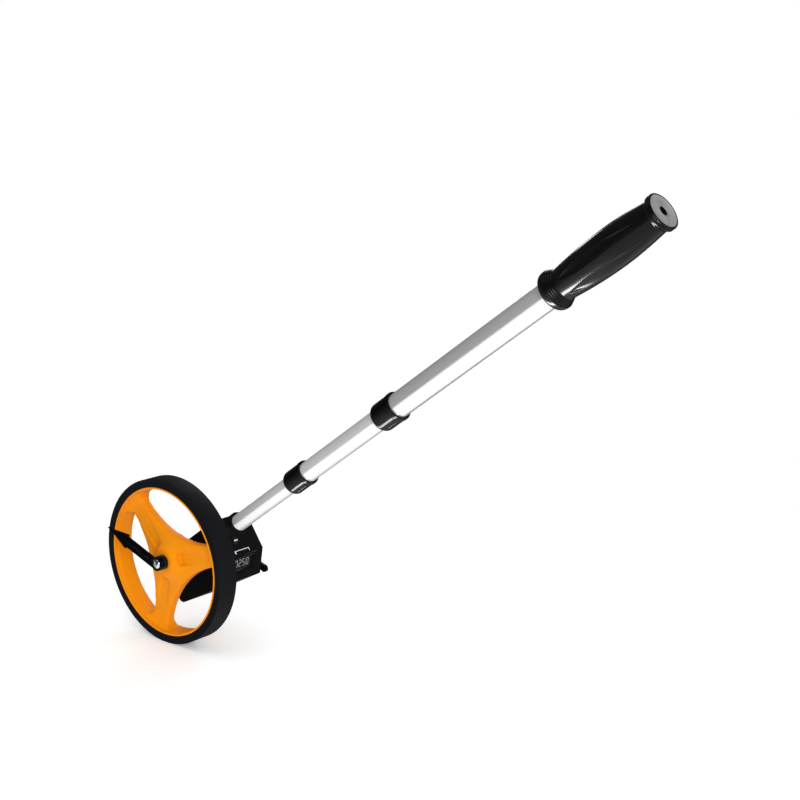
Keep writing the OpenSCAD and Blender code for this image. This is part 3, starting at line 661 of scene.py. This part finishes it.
def make_tyre():
    """The flat solid tyre, with a fine step on each side wall."""
    seat_r = RIM_R - 0.3 * MM
    step_r = TYRE_R - 1.8 * MM
    step = 0.35 * MM
    profile = [
        (seat_r, -HALF_W + step),
        (step_r, -HALF_W + step),
        (step_r + step, -HALF_W),
        (TYRE_R, -HALF_W),
        (TYRE_R, HALF_W),
        (step_r + step, HALF_W),
        (step_r, HALF_W - step),
        (seat_r, HALF_W - step),
    ]
    tyre = turned(profile, AXLE_TURNED, steps=224, round_by=0.3 * MM)
    finish_piece(tyre, "rubber_tyre", "wheel", "tyre_rubber", stands_for="tyre")


# ---- Pointer -------------------------------------------------------------------------------

POINTER_ANGLE = radians(161.5)
POINTER_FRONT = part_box("pointer")[0].y
RIDGE_START, RIDGE_NECK, RIDGE_BARB, RIDGE_TIP = 9 * MM, 44 * MM, 49 * MM, 63 * MM
RIDGE_HALF, RIDGE_BARB_HALF = 0.9 * MM, 2.4 * MM
RIDGE_H, RIDGE_SUNK, RIDGE_ROUND = 0.9 * MM, 0.3 * MM, 0.55 * MM


def make_pointer():
    """The arrow on the hub, with a ridge along its blade."""
    softened_node("pointer", "pointer_arrow", width=0.5 * MM)
    outline = [
        (RIDGE_START, RIDGE_HALF),
        (RIDGE_START, -RIDGE_HALF),
        (RIDGE_NECK, -RIDGE_HALF),
        (RIDGE_BARB, -RIDGE_BARB_HALF),
        (RIDGE_TIP, 0),
        (RIDGE_BARB, RIDGE_BARB_HALF),
        (RIDGE_NECK, RIDGE_HALF),
    ]
    ridge = slab(outline, 0, RIDGE_H, Matrix())
    soften(ridge, RIDGE_ROUND, segments=2)
    place = FRONT_FACE @ Matrix.Rotation(POINTER_ANGLE, 4, "Z")
    place = Matrix.Translation((0, POINTER_FRONT + RIDGE_SUNK, 0)) @ place
    bmesh.ops.transform(ridge, matrix=place, verts=ridge.verts)
    finish_piece(ridge, "pointer_ridge", "pointer", "gloss_black")


def make_pointer_screw():
    """The bright domed screw in the hub, with a cross slot."""
    low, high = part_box("pointer_screw")
    head_r = high.z
    crown = low.y
    seat = crown + 2.2 * MM
    edge_h = 0.4 * MM
    dome_h = seat - crown - edge_h
    shank_r, foot = 2.9 * MM, seat + 0.3 * MM
    turns = [i * pi / 20 for i in range(2, 11)]
    profile = (
        [(AXIS_R, crown)]
        + [(head_r * sin(a), seat - edge_h - dome_h * cos(a)) for a in turns]
        + [(head_r, seat), (shank_r, seat), (shank_r, foot), (AXIS_R, foot)]
    )
    dome = temporary(turned(profile, AXLE_TURNED, steps=64), "dome")
    half_len, half_w = 2.6 * MM, 0.45 * MM
    slot_in, slot_out = -1.0 * MM, 2.5 * MM
    place = Matrix.Translation((0, crown + 0.4 * MM, 0)) @ FRONT_FACE
    slots = []
    for turn in (radians(35), radians(125)):
        slot = block(
            (-half_len, -half_w, slot_in), (half_len, half_w, slot_out), Matrix.Rotation(turn, 4, "Z"),
        )
        bmesh.ops.transform(slot, matrix=place, verts=slot.verts)
        slots.append(temporary(slot, "slot"))
    carved(dome, slots)
    finish_mesh(baked(dome, slots), "pointer_screw_head", "housing", "chrome", stands_for="pointer_screw")


# ---- Housing -------------------------------------------------------------------------------

HOUSING_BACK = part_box("rear_shell")[1].y
SOCKET_TOP = pole_span("front_shell")[1]
SOCKET_H = 1.5 * MM
HOUSING_END = SOCKET_TOP - SOCKET_H
LID_RIDGES = (-14 * MM, -11 * MM, -8 * MM)


def make_housing():
    """Both halves of the case with rounded edges."""
    softened_node("front_shell", "case_front", width=0.7 * MM)
    softened_node("rear_shell", "case_rear", width=0.7 * MM)


def make_battery_door():
    """The door with its finger ridges."""
    softened_node("battery_door", "battery_lid", width=0.4 * MM)
    half_w = 0.6 * MM
    inner, outer = HOUSING_BACK - 0.1 * MM, HOUSING_BACK + 0.5 * MM
    bottom, top = -29 * MM, -16 * MM
    ridges = [
        block((x - half_w, inner, bottom), (x + half_w, outer, top), POLE_FRAME, round_by=0.3 * MM)
        for x in LID_RIDGES
    ]
    finish_piece(join_bmesh(*ridges), "lid_ridges", "housing", "black_plastic")


# ---- Display and controls ------------------------------------------------------------------

DISPLAY_LOW, DISPLAY_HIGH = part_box("display_bezel")
DISPLAY_MID = (DISPLAY_LOW + DISPLAY_HIGH) / 2
DISPLAY_OUT = (POLE_AXIS - POLE_UP).normalized()
DISPLAY_UP = (POLE_AXIS + POLE_UP).normalized()
BEZEL_W = 29 * MM
BEZEL_H = 19.6 * MM
BEZEL_PROUD = 0.8 * MM
WINDOW_W = 21 * MM
WINDOW_H = 12 * MM
WALL = 2.4 * MM
LENS_T = 1.2 * MM


def bezel_front():
    """Distance of the bezel's front from the origin, along the display's normal."""
    return max(p.dot(DISPLAY_OUT) for p in node_points("display_bezel"))


def bezel_mid_up():
    """Middle of the bezel along the slanted face."""
    ups = [p.dot(DISPLAY_UP) for p in node_points("display_bezel")]
    return (min(ups) + max(ups)) / 2


# The display's frame: x along the axle, y up the slanted face, z out of it from the case
DISPLAY_BASE = bezel_front() - BEZEL_PROUD
DISPLAY = axes_matrix(
    SPINDLE_AXIS, DISPLAY_UP, DISPLAY_OUT,
    Vector((0, DISPLAY_MID.y, 0)) + DISPLAY_UP * bezel_mid_up() + DISPLAY_OUT * DISPLAY_BASE,
)


def make_bezel():
    """The frame of the display, with walls that slope in to the window."""
    rim = 2.2 * MM
    slope = (BEZEL_W - WINDOW_W) / 2 - rim
    slope_up = (BEZEL_H - WINDOW_H) / 2 - rim
    sunk = 1.5 * MM
    bm = block((-BEZEL_W / 2, -BEZEL_H / 2, -WALL), (BEZEL_W / 2, BEZEL_H / 2, BEZEL_PROUD), Matrix())
    bm.normal_update()
    for side in (1, -1):
        face = next(f for f in bm.faces if f.normal.z * side > 0.9)
        bmesh.ops.inset_region(bm, faces=[face], thickness=rim)
        if side > 0:
            bmesh.ops.inset_region(bm, faces=[face], thickness=min(slope, slope_up), depth=-sunk)
        for v in face.verts:
            v.co.x = WINDOW_W / 2 if v.co.x > 0 else -WINDOW_W / 2
            v.co.y = WINDOW_H / 2 if v.co.y > 0 else -WINDOW_H / 2
        bmesh.ops.delete(bm, geom=[face], context="FACES_ONLY")
    loops = [e for e in bm.edges if len(e.link_faces) == 1]
    bmesh.ops.bridge_loops(bm, edges=loops)
    bmesh.ops.recalc_face_normals(bm, faces=bm.faces)
    soften(bm, 0.35 * MM, segments=2)
    bmesh.ops.transform(bm, matrix=DISPLAY, verts=bm.verts)
    finish_piece(bm, "display_frame", "housing", "gloss_black", stands_for="display_bezel")


# The seven strokes of a figure: middle x, middle y, and whether it stands upright
STROKES = {
    "top": (0, 1, False), "middle": (0, 0, False), "bottom": (0, -1, False),
    "upper_left": (-1, 0.5, True), "upper_right": (1, 0.5, True),
    "lower_left": (-1, -0.5, True), "lower_right": (1, -0.5, True),
}
FIGURE_STROKES = {
    "0": ("top", "bottom", "upper_left", "upper_right", "lower_left", "lower_right"),
    "2": ("top", "middle", "bottom", "upper_right", "lower_left"),
    "5": ("top", "middle", "bottom", "upper_left", "lower_right"),
}
READING = "0250"


def make_figures():
    """A plain reading in seven-stroke figures, under the window."""
    pitch = 4.6 * MM
    half_w = 1.25 * MM
    half_h = 3.3 * MM
    stroke = 0.75 * MM
    stroke_gap = 0.15 * MM
    dot = 0.4 * MM
    base = -WALL - LENS_T - 0.02 * MM
    thick = 0.12 * MM
    strokes = []
    for i, digit in enumerate(READING):
        mid_x = (i - (len(READING) - 1) / 2) * pitch
        for name in FIGURE_STROKES[digit]:
            x, y, upright = STROKES[name]
            reach = (half_h / 2 if upright else half_w) - stroke_gap
            across, up = (stroke / 2, reach) if upright else (reach, stroke / 2)
            at_x, at_y = mid_x + x * half_w, y * half_h
            strokes.append(block(
                (at_x - across, at_y - up, base), (at_x + across, at_y + up, base + thick), DISPLAY,
            ))
    dot_x = 0.5 * pitch
    strokes.append(block(
        (dot_x - dot, -half_h - dot, base), (dot_x + dot, -half_h + dot, base + thick), DISPLAY,
    ))
    finish_piece(join_bmesh(*strokes), "display_reading", "housing", "lcd", FIGURES)


def make_frame_mark():
    """The thin pale bracket above the display, on the end face."""
    line = 0.7 * MM
    top = -24.6 * MM
    y0, y1 = 22 * MM, 40 * MM
    drop = 3 * MM
    x0, x1 = HOUSING_END - 0.1 * MM, HOUSING_END + 0.12 * MM
    marks = [
        block((x0, y0, top - line), (x1, y1, top), POLE_FRAME),
        block((x0, y1 - line, top - drop), (x1, y1, top - line), POLE_FRAME),
        block((x0, y0, top - drop), (x1, y0 + 2 * line, top - line), POLE_FRAME),
    ]
    finish_piece(join_bmesh(*marks), "display_bracket", "housing", "button_black", PALE_MARK)


def make_power_button():
    """The round button with a dished top and a pale dash."""
    local = POLE_FRAME.inverted()
    points = [local @ p for p in node_points("power_button")]
    ends = [(min(p[i] for p in points), max(p[i] for p in points)) for i in range(3)]
    low, high = ends[0]
    mid = Vector((0, sum(ends[1]) / 2, sum(ends[2]) / 2))
    radius = 3.5 * MM
    flange, flange_top = 4.7 * MM, low + 1.6 * MM
    place = POLE_FRAME @ Matrix.Translation(mid) @ Matrix.Rotation(pi / 2, 4, "Y")
    profile = [
        (AXIS_R, low), (flange, low), (flange, flange_top), (radius, flange_top), (radius, high),
        (radius - 0.8 * MM, high), (radius - 1.6 * MM, high - 0.3 * MM), (AXIS_R, high - 0.45 * MM),
    ]
    cap = turned(profile, place, steps=64, round_by=0.15 * MM)
    finish_piece(cap, "power_cap", "button", "button_black", stands_for="power_button")
    half_w, half_len = 0.7 * MM, 2.2 * MM
    bottom, top = high - 0.5 * MM, high - 0.2 * MM
    dash = block((-half_w, -half_len, bottom), (half_w, half_len, top), place, round_by=0.1 * MM)
    finish_piece(dash, "power_dash", "button", "button_black", PALE_MARK)


def make_zero_lever():
    """The thumb lever with rounded edges."""
    softened_node("zero_lever", "zero_thumb", width=0.6 * MM)


# ---- Pole ----------------------------------------------------------------------------------


def nose(radius, width, low, length, steps=8):
    """A quarter of an ellipse at the lower end of a turned profile."""
    turns = [pi / 2 * i / steps for i in range(steps + 1)]
    return [(radius - width * (1 - sin(a)), low + length * (1 - cos(a))) for a in turns]


def sink_verts(bm, depth_at):
    """Moves each vertex toward the z axis by a depth that depends on its radius, angle and height."""
    for v in bm.verts:
        radius = sqrt(v.co.x**2 + v.co.y**2)
        angle = Vector((v.co.x, v.co.y)).angle_signed(Vector((1, 0)))
        depth = depth_at(radius, angle, v.co.z)
        if depth:
            v.co.x *= (radius - depth) / radius
            v.co.y *= (radius - depth) / radius


GROOVES = 4
GROOVE_TURN = radians(-113)
GROOVE_DEPTH = 0.4 * MM
GROOVE_HALF = 0.035  # as a share of the way round to the next groove


def make_collar(node, inner_tube, outer_tube, name):
    """A twist collar: rounded lower end, long grooves, a rim at the upper end."""
    low, high = pole_span(node)
    radius = pole_radius(node)
    body = radius - 0.4 * MM
    mouth = pole_radius(outer_tube) + 0.3 * MM
    under = pole_radius(inner_tube) + 0.3 * MM
    rim_at = high - 4 * MM
    groove_low, groove_high = low + 5 * MM, rim_at - 1.5 * MM
    rows = 12
    wall = [(body, groove_low + (groove_high - groove_low) * i / rows) for i in range(rows + 1)]
    profile = (
        [(under, low)]
        + nose(body, 3 * MM, low, 4 * MM)
        + wall
        + [(body, rim_at - 0.5 * MM), (body - 0.3 * MM, rim_at - 0.3 * MM), (body - 0.3 * MM, rim_at),
           (radius, rim_at + 0.3 * MM), (radius, high - 1.2 * MM), (radius - 0.35 * MM, high - 0.4 * MM),
           (radius - 1.2 * MM, high), (mouth, high), (mouth, low + 2.2 * MM), (under, low + 2.2 * MM)]
    )
    bm = turned(profile, Matrix(), steps=240)

    def groove(r, angle, z):
        on_wall = body - 0.01 * MM < r < body + 0.01 * MM
        inside = on_wall and groove_low + 0.1 * MM < z < groove_high - 0.1 * MM
        across = abs(((angle - GROOVE_TURN) * GROOVES / (2 * pi) + 0.5) % 1.0 - 0.5)
        return GROOVE_DEPTH * max(0.0, 1 - across / GROOVE_HALF) ** 0.5 if inside else 0.0

    sink_verts(bm, groove)
    bmesh.ops.transform(bm, matrix=POLE_TURNED, verts=bm.verts)
    finish_piece(bm, name, body_of(node), "gloss_black", stands_for=node, crease=40)


# ---- Grip ----------------------------------------------------------------------------------

FLUTES = 6
FLUTE_TURN = radians(22)
FLUTE_DEPTH = 1.1 * MM
FLUTE_HALF = 0.29  # as a share of the way round to the next flute
FLUTE_FULL = 0.15  # from this half width on, a flute has its full depth
FLUTE_LEAN = 0.7  # below 1, a flute is widest toward its lower end
FLUTE_HOLLOW = 0.9
FLUTE_ENDS = (0.06, 0.9)  # as shares of the belly's length


def grip_belly(low, high, waist_r, belly_r, rows):
    """A half wave from waist to waist."""
    turns = [i / rows for i in range(rows + 1)]
    return [(waist_r + (belly_r - waist_r) * sin(pi * t), low + (high - low) * t) for t in turns]


def ribbed_slope(start, finish, ribs):
    """A slope between two profile points, with fine grooves cut into it."""
    groove_w, groove_depth = 0.8 * MM, 0.75 * MM
    points = []
    for i in range(ribs):
        for shift, depth in ((-0.5, 0.0), (0.0, groove_depth), (0.5, 0.0)):
            z = start[1] + (finish[1] - start[1]) * (i + 0.5) / ribs + shift * groove_w
            share = (z - start[1]) / (finish[1] - start[1])
            points.append((start[0] + (finish[0] - start[0]) * share - depth, z))
    return [start, *points]


def make_grip():
    """The moulded grip: ribbed flange, leaf-shaped flutes along the belly, rolled end."""
    low, high = pole_span("grip")
    bore = pole_radius("upper_tube")
    flange_r = 16.6 * MM
    waist_r = 13.05 * MM
    belly_r = 16.2 * MM
    end_r = 15 * MM
    cap_r = pole_radius("grip_cap")
    nose_len, flange_len, shoulder = 5.3 * MM, 6.6 * MM, 7.5 * MM
    end_len = 5 * MM
    belly_low, belly_high = low + flange_len + shoulder, high - end_len - 2 * MM
    profile = (
        [(bore, low)]
        + nose(flange_r, 3.6 * MM, low, nose_len)
        + ribbed_slope((flange_r, low + flange_len), (waist_r + 0.4 * MM, belly_low - 0.6 * MM), 4)
        + grip_belly(belly_low, belly_high, waist_r, belly_r, 110)
        + [
            (waist_r + 0.3 * MM, high - end_len - 1.2 * MM),
            (end_r - 0.8 * MM, high - end_len - 0.2 * MM),
            (end_r, high - end_len + 0.9 * MM),
            (end_r, high - 2.4 * MM),
            (end_r - 0.55 * MM, high - 1.8 * MM),
            (end_r, high - 1.2 * MM),
            (end_r - 0.2 * MM, high - 0.4 * MM),
            (end_r - 0.8 * MM, high),
            (cap_r, high),
            (cap_r, high - 3 * MM),
            (bore, high - 3 * MM),
        ]
    )
    bm = turned(profile, Matrix(), steps=360)

    def leaf_flute(r, angle, z):
        share = (z - belly_low) / (belly_high - belly_low)
        along = (share - FLUTE_ENDS[0]) / (FLUTE_ENDS[1] - FLUTE_ENDS[0])
        if r < waist_r - 0.05 * MM or not 0.0 < along < 1.0:
            return 0.0
        half = FLUTE_HALF * sin(pi * along**FLUTE_LEAN)
        across = abs(((angle - FLUTE_TURN) * FLUTES / (2 * pi) + 0.5) % 1.0 - 0.5)
        if across >= half:
            return 0.0
        return FLUTE_DEPTH * (1 - (across / half) ** 2) ** FLUTE_HOLLOW * min(1.0, half / FLUTE_FULL)

    sink_verts(bm, leaf_flute)
    bmesh.ops.transform(bm, matrix=POLE_TURNED, verts=bm.verts)
    finish_piece(bm, "moulded_grip", "handle", "grip_black", stands_for="grip", crease=60)


def make_grip_cap():
    """The grey disc in the end of the grip, with a thin black sleeve of painted shade in its hanging hole.
    """
    low, high = pole_span("grip_cap")
    radius = pole_radius("grip_cap")
    hole = 3.8 * MM
    plug = pole_radius("upper_tube") - 1 * MM
    seat = high - 3 * MM
    dish = high - 0.4 * MM
    profile = [
        (hole, low), (plug, low), (plug, seat), (radius, seat), (radius, high - 0.1 * MM),
        (radius - 1.0 * MM, high), (radius - 1.7 * MM, dish), (hole + 1.6 * MM, dish),
        (hole + 0.9 * MM, high - 0.1 * MM), (hole + 0.3 * MM, high - 0.1 * MM), (hole, dish),
    ]
    disc = turned(profile, POLE_TURNED, steps=96, round_by=0.12 * MM, segments=2)
    finish_piece(disc, "grip_end_disc", "handle", "grey_plastic", stands_for="grip_cap")
    # Painted shade: a thin black sleeve darkens the hanging hole's wall, where shade falls.
    shade_wall = 0.15 * MM
    shade_top = dish - 0.2 * MM
    sleeve = [(hole - shade_wall, low), (hole, low), (hole, shade_top), (hole - shade_wall, shade_top)]
    finish_piece(turned(sleeve, POLE_TURNED, steps=64), "hanging_hole_lining", "handle", "grip_black")


# ---- Studio --------------------------------------------------------------------------------

WORLD_LIGHT = 0.62
FLOOR_MIDDLE = (0.1, 0.05)
FLOOR_FADE = (0.25, 0.75)
FLOOR_GLOW = 0.2
GREY_SIDE = 0.1
WHITE_SIDE = 1.15
DARK_BACK = 0.25
DARK_EDGE = 0.05
STRIP_OFF = 0.12
STRIP_TURN = radians(50)
STRIP_SPAN = (0.04, 0.45)
STRIP_W = 0.03
STRIP_WATTS = 4.0
STRIP_LIT = ("lower_twist_collar", "upper_twist_collar", "moulded_grip")
POLE_PIECES = ("lower_tube", "mid_tube", "upper_tube", "grip_end_disc", *STRIP_LIT)

# Cosines between which each part of the reflections fades in
GREY_FROM = (0.08, 0.2)
EDGE_FROM, EDGE_UNTIL, EDGE_AHEAD = (0.25, 0.4), (0.75, 0.6), (0.3, 0.5)
BACK_AHEAD, BACK_ABOVE = (0.0, 0.2), (-0.75, -0.55)

# Name, place, size and watts of each lamp, all turned to a point on the pole
LAMPS = (
    ("key", (1.6, -1.0, 0.7), 0.9, 19),
    ("top", (-0.3, -0.4, 1.9), 1.4, 4),
    ("back", (-0.6, 1.7, 0.9), 1.2, 12),
)
LAMP_AIM = POLE_AXIS * 0.3


def make_camera():
    """The camera at the photograph's place."""
    data = bpy.data.cameras.new("camera")
    data.lens = CAMERA_LENS_MM
    data.sensor_width = CAMERA_SENSOR_MM
    data.clip_end = 200
    camera = add_object("camera", data)
    camera.location = CAMERA_AT
    camera.rotation_euler = CAMERA_LOOKS.to_track_quat("-Z", "Y").to_euler()
    bpy.context.scene.camera = camera


def make_floor():
    """A pale floor under the tyre that thins out into the white around it and isn't seen from below."""
    middle = (*FLOOR_MIDDLE, -TYRE_R)
    bm = bmesh.new()
    bmesh.ops.create_grid(bm, x_segments=1, y_segments=1, size=FLOOR_FADE[1])
    bmesh.ops.translate(bm, vec=middle, verts=bm.verts)
    floor = add_object("floor", as_mesh(bm, "floor"))
    material, tree, shader = new_material("pale_floor")
    cloud = grain_node(tree, 200.0, 6.0).outputs["Cloud"]
    tree.links.new(tone(tree, cloud, (0.93, 0.93, 0.93), (0.97, 0.97, 0.97)), shader.inputs["Base Color"])
    shader.inputs["Roughness"].default_value = 1.0
    shader.inputs["Specular IOR Level"].default_value = 0.0
    shader.inputs["Emission Color"].default_value = (1, 1, 1, 1)
    shader.inputs["Emission Strength"].default_value = FLOOR_GLOW
    place = tree.nodes.new("ShaderNodeTexCoord")
    reach = tree.nodes.new("ShaderNodeVectorMath")
    reach.operation = "DISTANCE"
    reach.inputs[1].default_value = middle
    tree.links.new(place.outputs["Object"], reach.inputs[0])
    fade = smooth_step(tree, reach.outputs["Value"], *FLOOR_FADE, low=1.0, high=0.0)
    under = tree.nodes.new("ShaderNodeNewGeometry").outputs["Backfacing"]
    tree.links.new(blend(tree, under, fade, 0.0), shader.inputs["Alpha"])
    floor.data.materials.append(material)
    floor.visible_glossy = False


def facing(tree, place, direction, start, end):
    """How far a ray's direction lies toward another one: 0 at the start cosine, 1 at the end one."""
    along = tree.nodes.new("ShaderNodeVectorMath")
    along.operation = "DOT_PRODUCT"
    along.inputs[1].default_value = direction
    tree.links.new(place.outputs["Generated"], along.inputs[0])
    return smooth_step(tree, along.outputs["Value"], start, end)


def make_world():
    """White to the camera; a grey side and a dark edge in the reflections; plain light elsewhere."""
    world = bpy.data.worlds.new("studio")
    world.use_nodes = True
    tree = world.node_tree
    background = tree.nodes["Background"]
    background.inputs["Color"].default_value = (1, 1, 1, 1)
    place = tree.nodes.new("ShaderNodeTexCoord")
    path = tree.nodes.new("ShaderNodeLightPath")
    over = POLE_AXIS.cross(CAMERA_LOOKS).normalized()
    grey_side = facing(tree, place, over, *GREY_FROM)
    below = product(tree, facing(tree, place, -over, *EDGE_FROM), facing(tree, place, -over, *EDGE_UNTIL))
    edge = product(tree, below, facing(tree, place, CAMERA_LOOKS, *EDGE_AHEAD))
    ahead = facing(tree, place, CAMERA_LOOKS, *BACK_AHEAD)
    back = product(tree, ahead, facing(tree, place, Vector((0, 0, 1)), *BACK_ABOVE))
    mirrored = blend(tree, grey_side, blend(tree, back, WHITE_SIDE, DARK_BACK), GREY_SIDE)
    mirrored = blend(tree, edge, mirrored, DARK_EDGE)
    lit = blend(tree, path.outputs["Is Glossy Ray"], WORLD_LIGHT, mirrored)
    seen = tree.nodes.new("ShaderNodeMath")
    seen.operation = "MAXIMUM"
    tree.links.new(path.outputs["Is Camera Ray"], seen.inputs[0])
    tree.links.new(path.outputs["Is Transmission Ray"], seen.inputs[1])
    tree.links.new(blend(tree, seen.outputs["Value"], lit, 1.0), background.inputs["Strength"])
    bpy.context.scene.world = world


def make_lamp(name, at, size, watts):
    """A square soft lamp."""
    data = bpy.data.lights.new(name, "AREA")
    data.size = size
    data.energy = watts
    lamp = add_object(name, data)
    lamp.location = at
    lamp.rotation_euler = (LAMP_AIM - Vector(at)).to_track_quat("-Z", "Y").to_euler()


def make_strip_lamp():
    """A long narrow lamp beside the pole that lights only the glossy black pieces on it."""
    data = bpy.data.lights.new("strip", "AREA")
    data.shape = "RECTANGLE"
    data.size = STRIP_SPAN[1] - STRIP_SPAN[0]
    data.size_y = STRIP_W
    data.energy = STRIP_WATTS
    lamp = add_object("strip", data)
    below = CAMERA_LOOKS.cross(POLE_AXIS).normalized()
    near = below.cross(POLE_AXIS)
    out = near * cos(STRIP_TURN) + below * sin(STRIP_TURN)
    middle = POLE_AXIS * sum(STRIP_SPAN) / 2 + SPINDLE_AXIS * POLE_Y
    lamp.matrix_world = axes_matrix(POLE_AXIS, out.cross(POLE_AXIS), out, middle + out * STRIP_OFF)
    lamp.visible_camera = False
    lit = bpy.data.collections.new("strip_lit")
    for name in STRIP_LIT:
        lit.objects.link(bpy.data.objects[name])
    lamp.light_linking.receiver_collection = lit


def clear_tubes():
    """Keeps everything but the pole out of the reflections, which are clean in the photograph's tubes."""
    for piece in bpy.data.objects:
        if piece.type == "MESH" and piece.name not in POLE_PIECES:
            piece.visible_glossy = False


def make_studio():
    """Camera, floor, world and lamps."""
    make_camera()
    make_floor()
    make_world()
    for lamp in LAMPS:
        make_lamp(*lamp)
    bpy.context.scene.view_settings.view_transform = "Standard"


dress_frame()
make_studio()
make_tyre()
make_rim()
make_spokes()
make_pointer()
make_pointer_screw()
make_housing()
make_battery_door()
make_bezel()
make_figures()
make_frame_mark()
make_power_button()
make_zero_lever()
make_collar("lower_collar", "lower_tube", "mid_tube", "lower_twist_collar")
make_collar("upper_collar", "mid_tube", "upper_tube", "upper_twist_collar")
make_grip()
make_grip_cap()
make_strip_lamp()
clear_tubes()
